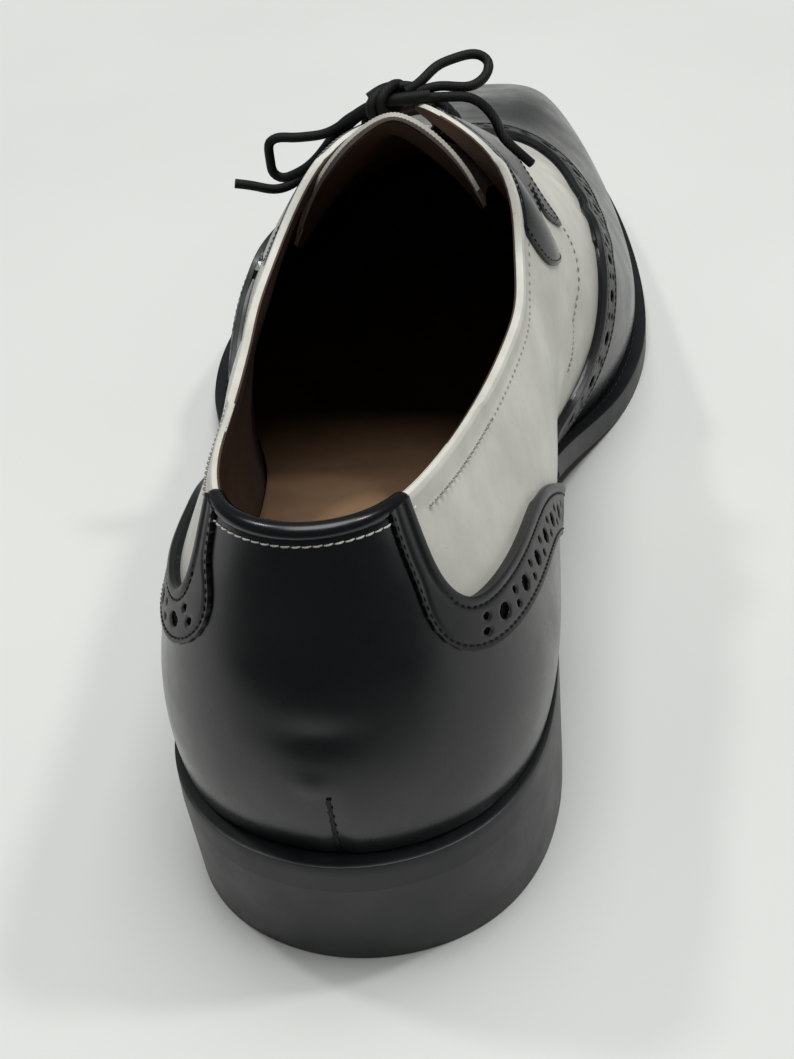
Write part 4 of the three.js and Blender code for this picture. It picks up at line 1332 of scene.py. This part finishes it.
def upper_sheet(rounding):
    """Sheet of the whole upper with its eyelets; column 3 is the way from the top line."""
    sheets = []
    for side in SIDES:
        sheet = grid(side, 0.0, LAST_PLACE, 0.0, 1.0, *UPPER_GRID)
        at, v = sheet[0][:, AT], sheet[0][:, V]
        sheet = with_column(sheet, top_edge_distance(at, v, side))
        sheet = with_column(sheet, eyelet_clearance(bare_point(at, v, side), side))
        sheet = split(split(sheet, 3, rounding), 3, 0.4 * rounding)
        sheets.append(cut(sheet, 4, 0.0, 0.3))
    return laid(join(sheets))


def quarter_step(points):
    """The quarter lies over the vamp: a low step along the seam between them."""
    outline = np.r_[smooth_line(QUARTER_SEAM), [(20.0, 44.0), (20.0, 110.0)]]
    distance = signed_distance(points[:, SIDE_AXES], outline)
    return QUARTER_STEP * (0.5 + 0.5 * np.tanh(distance / 0.5))


def add_upper():
    points, faces, data = upper_sheet(1.2)
    edge = data[:, 3]
    bead = TOP_BEAD * np.sqrt(np.clip(1 - ((edge - TOP_FOLD) / TOP_FOLD) ** 2, 0, 1))
    groove = TOP_GROOVE * bump(edge - 2.7, 0.5)
    high = bead - groove + quarter_step(points) - rounded(edge, 1.0) * 0.6
    low = -LEATHER + 0.95 * bump(edge, SKIVED)
    inner = -LEATHER - LINING + 1.2 * bump(edge, SKIVED)
    add_shell("white_upper", points, faces, low, high, white_calf, "white_leather", "upper")
    add_shell("lining", points, faces, inner, low - 0.02, lining_calf, "tan_leather", "upper")


# ---- Overlays

EDGE_ROUNDING = 0.4

# Length of plain, narrow band at the top of the counter's band
COUNTER_NARROW = {INNER: 24.0, OUTER: 17.0}
COUNTER_BAND_TOP = 0.91

# How far from the middle the wing's tails begin, and where their bands end at the back
TAIL_START = 12.0
TAIL_END = 58.0


def overlay_piece(name, sheets, column, node):
    """Black overlay on the upper; a column gives the way from its edge."""
    points, faces, data = laid(join(sheets))
    high = OVERLAY - rounded(data[:, column], EDGE_ROUNDING)
    add_shell(name, points, faces, 0.05, high, black_calf, "black_leather", node)


def counter_outline():
    edge = smooth_line(side_view(COUNTER_EDGE))
    return edge, np.r_[edge, [(BEHIND, 0.0), (BEHIND, FAR)]]


def add_counter():
    edge, outline = counter_outline()
    band_edge = edge[edge[:, 1] < COUNTER_BAND_TOP * INSTEP_HEIGHT]
    sheets, lines = [], []
    for side in SIDES:
        sheet = grid(side, *COUNTER_PLACES, 0.004, 1.0, *COUNTER_GRID)
        point = bare_point(sheet[0][:, AT], sheet[0][:, V], side)
        inside = signed_distance(point[:, SIDE_AXES], outline)
        sheet = cut(with_column(sheet, inside), 3)
        data = sheet[0]
        top = top_edge_distance(data[:, AT], data[:, V], side)
        sheets.append(with_column(sheet, np.minimum(top, data[:, 3])))
        at, v = locate(band_edge, SIDE_AXES, side, (0.4, 7.0))
        lines.append((at, v, side, -side, side == INNER, COUNTER_NARROW[side]))
    overlay_piece("black_counter", sheets, 4, "counter")
    add_bands("counter_band", "counter_seams", lines, "counter_band_inner", "counter_band_outer")


def wing_outlines():
    """Closed outlines of the wing in plan and of its tails in side view, and the wing's edges."""
    inner, outer = (smooth_line(plan_view(rows), 2) for rows in (WING_INNER, WING_OUTER))
    ends = [(BALL_WIDTH, inner[-1, 1]), (BALL_WIDTH, FAR), (-BALL_WIDTH, FAR),
            (-BALL_WIDTH, outer[-1, 1])]
    top = np.r_[inner, ends, outer[::-1][:-1]]
    tails = {}
    for side, rows in ((INNER, TAIL_INNER), (OUTER, TAIL_OUTER)):
        edge = smooth_line(side_view(rows), 2)
        start, end = [(FAR, 0.0), (FAR, edge[0, 1])], [(edge[-1, 0], -30.0), (FAR, -30.0)]
        tails[side] = edge, np.r_[start, edge, end]
    return top, tails, {INNER: inner, OUTER: outer}


def add_wing_cap():
    top, tails, plans = wing_outlines()
    _, counter = counter_outline()
    sheets, lines = [], []
    for side in SIDES:
        plan = plans[side]
        tail_edge, tail_outline = tails[side]
        sheet = grid(side, *WING_PLACES, 0.004, 1.0, *WING_GRID)
        point = bare_point(sheet[0][:, AT], sheet[0][:, V], side)
        over = signed_distance(point[:, PLAN_AXES], top)
        tail = signed_distance(point[:, SIDE_AXES], tail_outline)
        on_tail = (point[:, 0] * side > TAIL_START) & (point[:, 1] < plan[-1, 1] + 1)
        behind = signed_distance(point[:, SIDE_AXES], counter)
        inside = np.minimum(np.maximum(over, np.where(on_tail, tail, -99.0)), -behind - 0.2)
        sheets.append(cut(with_column(sheet, inside), 3))
        plan_at, plan_v = locate(plan, PLAN_AXES, side, (8.0, LAST_PLACE))
        along = tail_edge[:, 0]
        tail_edge = tail_edge[(along < plan[-1, 1] - 3) & (along > TAIL_END)]
        tail_at, tail_v = locate(tail_edge, SIDE_AXES, side, (4.4, 10.5))
        at, v = np.r_[plan_at, tail_at], np.r_[plan_v, tail_v]
        lines.append((at, v, side, side, side == OUTER))
    overlay_piece("black_wing_cap", sheets, 3, "wing_cap")
    add_bands("wing_cap_band", "wing_seams", lines, "wing_band")


def seam_runs(edge, outline, inset=0.85):
    """Lines inside an outline, an inset from its edge, broken where they would cross."""
    along = np.gradient(edge, axis=0)
    along /= np.linalg.norm(along, axis=1, keepdims=True)
    line = edge + inset * np.stack([along[:, 1], -along[:, 0]], -1)
    kept = signed_distance(line, outline) > 0.93 * inset
    breaks = np.flatnonzero(~kept)
    return [run[1:] for run in np.split(line, breaks) if len(run) > 6]


def add_facings():
    edge = smooth_line(side_view(FACING_EDGE), 0.8)
    outline = np.r_[edge, [(edge[-1, 0], FAR), (edge[0, 0], FAR)]]
    sewn = []
    for side, node in ((INNER, "facing_inner"), (OUTER, "facing_outer")):
        sheet = grid(side, *FACING_PLACES, 0.4, FACING_MARGIN, *FACING_GRID)
        at, v = sheet[0][:, AT], sheet[0][:, V]
        point = bare_point(at, v, side)
        rim = bare_point(at, np.full_like(at, FACING_MARGIN), side)
        inside = np.minimum.reduce([
            signed_distance(point[:, SIDE_AXES], outline),
            np.linalg.norm(point - rim, axis=1),
            eyelet_clearance(point, side),
        ])
        sheet = cut(with_column(sheet, inside), 3, 0.001)
        overlay_piece("black_" + node, [sheet], 3, node)
        for run in seam_runs(edge, outline):
            at, v = locate(run, SIDE_AXES, side, FACING_PLACES)
            point, normal = on_last(at, v, side, OVERLAY - 0.03)
            sewn.append(sewn_line(point, normal, **FACING_STITCH))
    add_seam("facing_seams", sewn, black_thread)


# ---- Collar roll and the stitches under it

# Padded roll at the back: how far it runs each way, half its thickness and half its height
ROLL_END = 2.05
ROLL_HALF = (1.6, 1.35)
ROLL_SIDES = 18
ROLL_STITCH_DROP = 2.5


def add_collar():
    at = np.linspace(0.0, ROLL_END, 60)
    line = []
    for side, order in ((OUTER, slice(None, None, -1)), (INNER, slice(1, None))):
        point, normal, _, upward = bare_frame(at, np.ones_like(at), side)
        up = upward / np.linalg.norm(upward, axis=1, keepdims=True)
        line.append(np.concatenate([point, normal, up], 1)[order])
    line = np.concatenate(line)
    point, normal, up = line[:, :3], line[:, 3:6], line[:, 6:]
    angle = np.linspace(0, 2 * math.pi, ROLL_SIDES, endpoint=False)[:, None]
    thick, tall = ROLL_HALF
    rings = []
    for k, (p, n, u) in enumerate(zip(point, normal, up)):
        end = min(k, len(point) - 1 - k) / 3
        size = math.sqrt(max(1 - (1 - min(end, 1.0)) ** 2, 0.04))
        centre = p + 0.1 * n - 0.5 * u
        rings.append(centre + size * (np.cos(angle) * n * thick + np.sin(angle) * u * tall))
    faces = [(a, d, c, b) for a, b, c, d in ring_faces(len(rings), ROLL_SIDES)]
    last = (len(rings) - 1) * ROLL_SIDES
    faces += [tuple(range(ROLL_SIDES)), tuple(range(last, last + ROLL_SIDES))[::-1]]
    fit_piece(new_piece("collar_roll", np.concatenate(rings), faces, black_calf), "black_leather")
    edge = point - ROLL_STITCH_DROP * up + normal * (OVERLAY + 0.1)
    add_seam("collar_stitches", [sewn_line(edge, normal, **COLLAR_STITCH)], white_thread)


TOP_SEAM_DROP = 4.6
TOP_SEAM_PLACES = (2.25, 6.2)
SEAM_INSET = 1.6


def add_quarter_seams():
    """Rows along the top line and down the quarter's front edge."""
    rows = []
    for side in SIDES:
        at = np.linspace(*TOP_SEAM_PLACES, 160)
        v = np.ones_like(at)
        for _ in range(12):
            away = top_edge_distance(at, v, side) - TOP_SEAM_DROP
            _, _, _, upward = bare_frame(at, v, side)
            v = np.clip(v + away / np.linalg.norm(upward, axis=1), 0, 1)
        point, normal = on_last(at, v, side, 0.5)
        rows.append(sewn_line(point, normal, **QUARTER_STITCH))
        seam = smooth_line(QUARTER_SEAM, 1.0)
        seam = seam[(seam[:, 1] < 80) & (seam[:, 0] > 84)] - (SEAM_INSET, 0)
        at, v = locate(seam, SIDE_AXES, side, (4.0, 9.5))
        point, normal = on_last(at, v, side, 0.55)
        rows.append(sewn_line(point, normal, **QUARTER_STITCH))
    add_seam("quarter_seams", rows, grey_thread)


# Zigzag over the dart: step up, half width, thread's radius; radius of the slit under it
ZIGZAG_STEP = 1.15
ZIGZAG_HALF = 0.3
ZIGZAG_RADIUS = 0.32
SLIT_RADIUS = 0.42
DART_PLACE = 0.07


def add_dart():
    """Closed dart at the back of the counter, sewn across in a zigzag."""
    _, low, high = DART_AT
    v_try = np.linspace(0, 0.6, 400)
    heights = bare_point(np.full_like(v_try, DART_PLACE), v_try, INNER)[:, 2]
    spots = np.arange(low, high, ZIGZAG_STEP)
    v = v_try[np.argmin(np.abs(heights[None] - spots[:, None]), axis=1)]
    point, normal = on_last(np.full_like(v, DART_PLACE), v, INNER, OVERLAY)
    zigzag = point + normal * 0.05
    zigzag[::2, 0] -= ZIGZAG_HALF
    zigzag[1::2, 0] += ZIGZAG_HALF
    slit = tube(point - normal * 0.05, SLIT_RADIUS, 6)
    add_seam("dart_seam", [tube(zigzag, ZIGZAG_RADIUS, 6), slit], black_thread)


# ---- Tongue

TONGUE_CREST = table(
    "at along height",
    (6.7, 0.405, 1.065),
    (7.15, 0.428, 1.015),
    (7.6, 0.459, 0.978),
    (8.2, 0.5, 0.89),
    (8.8, 0.543, 0.815),
    (9.2, 0.572, 0.757),
    (10, 0.624, 0.66),
)
# Where its edges lie on the last; an arch that closes it over the throat, which turns into
# the last's own shoulder at the tuck; depth under the last; height of its middle's rise
TONGUE_EDGE = {INNER: 0.7, OUTER: 0.6}
TONGUE_REACH = 22.0
TONGUE_FALL = 8.0
TONGUE_TUCK = 7.2
TONGUE_TUCK_SPAN = 0.5
TONGUE_DEPTH = 2.9
TONGUE_THICK = 0.9
TONGUE_TOOTH = 0.25
TONGUE_SOFTENING = 90
TONGUE_RISE = 2.1
TONGUE_ROWS = 48
TONGUE_COLUMNS = 140
TONGUE_LINING = 0.5
tongue_along = spline(TONGUE_CREST, "along")
tongue_height = spline(TONGUE_CREST, "height")


def tongue_point(at, share, side):
    """Guide surface of the tongue: the last's meridians closed over the throat in an arch."""
    base, belly, shoulder, _ = meridian(at, side)
    crest = np.stack([
        crest_middle(at) * BALL_WIDTH,
        y_of(tongue_along(at)),
        tongue_height(at) * INSTEP_HEIGHT,
    ], -1)
    arch = crest + (side * TONGUE_REACH, 0.0, -TONGUE_FALL)
    tuck = np.clip((TONGUE_TUCK - at) / TONGUE_TUCK_SPAN, 0, 1)[..., None]
    shoulder = shoulder * (1 - tuck) + arch * tuck
    return bezier((base, belly, shoulder, crest), 1 - (1 - TONGUE_EDGE[side]) * (1 - share))


def tongue_line(at):
    """One row of the tongue from its outer edge to its inner edge, with even steps."""
    share = np.linspace(0, 1, 80)
    own = np.full_like(share, at)
    line = np.r_[tongue_point(own, share, OUTER), tongue_point(own, share, INNER)[-2::-1]]
    way = way_along(line)
    line = sample(line, way, np.linspace(0, way[-1], TONGUE_COLUMNS + 1))
    return softened(line, TONGUE_SOFTENING)


def add_tongue():
    """White flap with a raw, finely pinked upper edge and a dark lining."""
    start, end = TONGUE_CREST[0]["at"], TONGUE_CREST[-1]["at"]
    lines = np.array([tongue_line(at) for at in np.linspace(start, end, TONGUE_ROWS + 1)])
    lines[0, 1:-1:2, 1] += TONGUE_TOOTH
    points = lines.reshape(-1, 3)
    row = TONGUE_COLUMNS + 1
    faces = grid_faces(TONGUE_ROWS + 1, row, False)
    across = np.tile(np.linspace(0, 1, row), TONGUE_ROWS + 1)
    along = np.repeat(np.arange(TONGUE_ROWS + 1), row)
    rise = TONGUE_RISE * bump(along, 9.0) * np.sin(math.pi * across) ** 0.7
    top = rise - TONGUE_DEPTH
    add_shell("white_tongue", points, faces, top - TONGUE_THICK, top, tongue_calf,
              "white_leather", "tongue")
    inner = (top - TONGUE_THICK - 0.02)[row:]
    add_shell("tongue_lining", points[row:], faces[:-2 * TONGUE_COLUMNS],
              inner - TONGUE_LINING, inner, lining_calf, "tan_leather")


# ---- Bottom

SOLE_STEPS = 150

# The outsole's edge keeps a hair inside the solid's
EDGE_STEP = 0.1

# A second loop inside the upper rim, so that the face across it is shaded flat
FLAT_RIM = 0.5

# Heel: how far its foot is drawn in, hollow of its breast and lean of the breast
HEEL_TAPER = 3.2
BREAST_HOLLOW = 3.0
BREAST_LEAN = 3.0

# Line of the welt's stitches, as a share of its shelf, and where it begins behind the waist
WELT_SEAM = 0.55
WELT_SEAM_START = 5.2


def ring_solid(name, loops, caps, material, slot, *nodes):
    """Closed solid from stacked loops of points with grids over both ends."""
    count = len(loops[0])
    top = (len(loops) - 1) * count
    faces = ring_faces(len(loops), count)
    faces += [face[::-1] for face in caps]
    faces += [tuple(i + top for i in face) for face in caps]
    return fit_piece(new_piece(name, np.concatenate(loops), faces, material), slot, *nodes)


def sole_loop(inset, height):
    """Sole outline moved inwards, at a height over the underside, as one loop."""
    at = np.linspace(0, LAST_PLACE, SOLE_STEPS + 1)
    sides = []
    for side in SIDES:
        edge, _ = edge_point(at, side, inset(at))
        edge[0, 0] = edge[-1, 0] = 0
        sides.append(np.stack([edge[:, 0], edge[:, 1], underside(edge[:, 1]) + height], -1))
    return np.r_[sides[0], sides[1][-2:0:-1]]


def sole_caps():
    """Faces across the sole between its inner and outer edge."""
    other = [-i % (2 * SOLE_STEPS) for i in range(SOLE_STEPS + 1)]
    last = SOLE_STEPS - 1
    middle = [(i, i + 1, other[i + 1], other[i]) for i in range(1, last)]
    return [(0, 1, other[1]), *middle, (last, SOLE_STEPS, other[last])]


def levels(low, high, rounding_low, rounding_high):
    """Heights of a layer's loops, each with its extra inset."""
    steps = [(low, rounding_low)]
    if rounding_low:
        steps += [(low + 0.3 * rounding_low, 0.3 * rounding_low), (low + rounding_low, 0.0)]
    if rounding_high:
        steps += [(high - rounding_high, 0.0), (high - 0.3 * rounding_high, 0.3 * rounding_high)]
    return steps + [(high, rounding_high), (high, rounding_high + FLAT_RIM)]


def layer(name, low, high, inset, roundings, material, slot, *nodes):
    """Layer of the bottom between two heights over the underside."""
    loops = [sole_loop(lambda at: inset(at) + extra, height)
             for height, extra in levels(low, high, *roundings)]
    return ring_solid(name, loops, sole_caps(), material, slot, *nodes)


def heel_loop(z, extra=0.0):
    """Outline of the heel at one height, with its hollow breast."""
    low, high = 0.0, float(LAST_PLACE)
    for _ in range(40):
        middle = (low + high) / 2
        low, high = (middle, high) if y_of(sole_along(middle)) < BREAST_AT else (low, middle)
    depth = 1 - z / HEEL_HEIGHT
    at = np.linspace(0, low, 60)
    runs = []
    for side in SIDES:
        _, outward = edge_point(at, side)
        inset = EDGE_STEP + extra + HEEL_TAPER * depth * np.clip(-outward[:, 1], 0, 1)
        edge, _ = edge_point(at, side, inset)
        edge[0, 0] = 0
        runs.append(edge)
    start, end = runs[0][-1], runs[1][-1]
    share = np.linspace(0, 1, 21)[1:-1, None]
    breast = start + (end - start) * share
    breast[:, 1] -= (BREAST_HOLLOW + extra) * np.sin(math.pi * share[:, 0])
    loop = np.r_[runs[0], breast, runs[1][:0:-1]]
    loop[:, 1] -= BREAST_LEAN * depth * np.clip(loop[:, 1] / BREAST_AT, 0, 1)
    return np.c_[loop, np.full(len(loop), z)]


def heel_block(name, low, high, roundings, material, slot, node):
    loops = [heel_loop(z, extra) for z, extra in levels(low, high, *roundings)]
    return ring_solid(name, loops, [tuple(range(len(loops[0])))], material, slot, node)


def sole_inset(at):
    return np.full_like(at, EDGE_STEP)


def sock_inset(at):
    return shelf_at(at) * WELT_SHELF + LEATHER + LINING + 0.4


def add_welt_stitches():
    sewn = []
    for side in SIDES:
        at = np.linspace(WELT_SEAM_START, LAST_PLACE - 0.02, 700)
        edge, _ = edge_point(at, side, shelf_at(at) * WELT_SHELF * WELT_SEAM)
        line = np.c_[edge, underside(edge[:, 1]) + WELT_TOP]
        normal = np.tile((0.0, 0.0, 1.0), (len(line), 1))
        sewn.append(sewn_line(line, normal, **WELT_STITCH))
    add_seam("welt_stitches", sewn, black_thread)


def add_bottom():
    heel_block("rubber_top_piece", 0.0, TOP_PIECE, (0.3, 0.0),
               heel_rubber, "rubber", "top_piece")
    heel_block("stacked_heel", TOP_PIECE, HEEL_HEIGHT, (0.0, 0.0),
               edge_leather, "edge_leather", "heel_stack")
    layer("leather_outsole", 0.0, OUTSOLE, sole_inset, (0.0, 0.0),
          edge_leather, "edge_leather", "outsole")
    layer("leather_welt", OUTSOLE, WELT_TOP, sole_inset, (0.0, 0.25),
          edge_leather, "edge_leather", "welt")
    layer("sock", WELT_TOP + 0.05, FEATHER + INSOLE, sock_inset, (0.0, 0.6),
          sock_leather, "tan_leather", "insole")
    add_welt_stitches()


add_upper()
add_counter()
add_wing_cap()
add_facings()
add_collar()
add_quarter_seams()
add_dart()
add_tongue()
add_bottom()


# ---- Floor and light

# The floor turns grey behind the heel, out of the main view: painted shade, a dark floor that
# stands in for the dark room behind the camera, so that the polished heel reflects dark
PAINTED_SHADE_BACK = 72.0
PAINTED_SHADE_FADE = 60.0
PLINTH_HALF = 9000.0


def add_floor():
    """Pale plinth with painted shade: it falls off into grey behind the heel, for the polished
    heel to reflect.
    """
    material, tree = new_material("plinth_with_painted_shade")
    place = object_place(tree)
    clouds = noise(tree, place, 180.0, 3.0)
    colour = ramp(tree, clouds, 0.35, 0.7, linear("#d8d9d6"), linear("#dedfdc"))
    spot = add_node(tree, "ShaderNodeSeparateXYZ", {"Vector": place})
    # Painted shade: the floor is mixed to grey behind the heel
    back = math_node(tree, "MULTIPLY_ADD", spot.outputs["Y"], -1.0, -PAINTED_SHADE_BACK * MM)
    painted_shade = ramp(tree, back, 0.0, PAINTED_SHADE_FADE * MM, grey(0), grey(1))
    colour = mix(tree, painted_shade, colour, linear("#5c5d5d"))
    shader = add_node(tree, "ShaderNodeBsdfPrincipled", {"Base Color": colour, "Roughness": 0.75})
    finish_material(tree, shader)
    h = PLINTH_HALF
    points = [(-h, -h, 0), (h, -h, 0), (h, h, 0), (-h, h, 0)]
    new_piece("floor", points, [(0, 1, 2, 3)], material, smooth=False)


def add_light(name, place, aim, size, power, tone):
    data = bpy.data.lights.new(name, "AREA")
    data.shape = "RECTANGLE"
    data.size, data.size_y = size
    data.energy = power
    data.color = linear(tone)[:3]
    lamp = bpy.data.objects.new(name, data)
    lamp.location = place
    lamp.rotation_euler = (Vector(aim) - Vector(place)).to_track_quat("-Z", "Y").to_euler()
    bpy.context.scene.collection.objects.link(lamp)


def add_world(strength, tone):
    world = bpy.data.worlds.new("studio")
    world.use_nodes = True
    background = world.node_tree.nodes["Background"]
    background.inputs["Color"].default_value = linear(tone)
    background.inputs["Strength"].default_value = strength
    bpy.context.scene.world = world


# A phone's plain contrast, with deep blacks
bpy.context.scene.view_settings.view_transform = "Standard"

add_floor()
add_world(0.13, "#f2f4f6")
add_light("ceiling", (0.12, 0.06, 2.3), (0.0, 0.06, 0.0), (1.6, 1.4), 41.0, "#fcfdfd")
add_light("lamp_right", (1.05, 0.4, 2.0), (0.0, 0.05, 0.05), (0.18, 0.18), 10.0, "#fdfdfb")
add_light("lamp_left", (-1.0, 0.45, 2.0), (0.0, 0.05, 0.05), (0.18, 0.18), 8.0, "#fdfdfb")

bpy.context.view_layer.update()
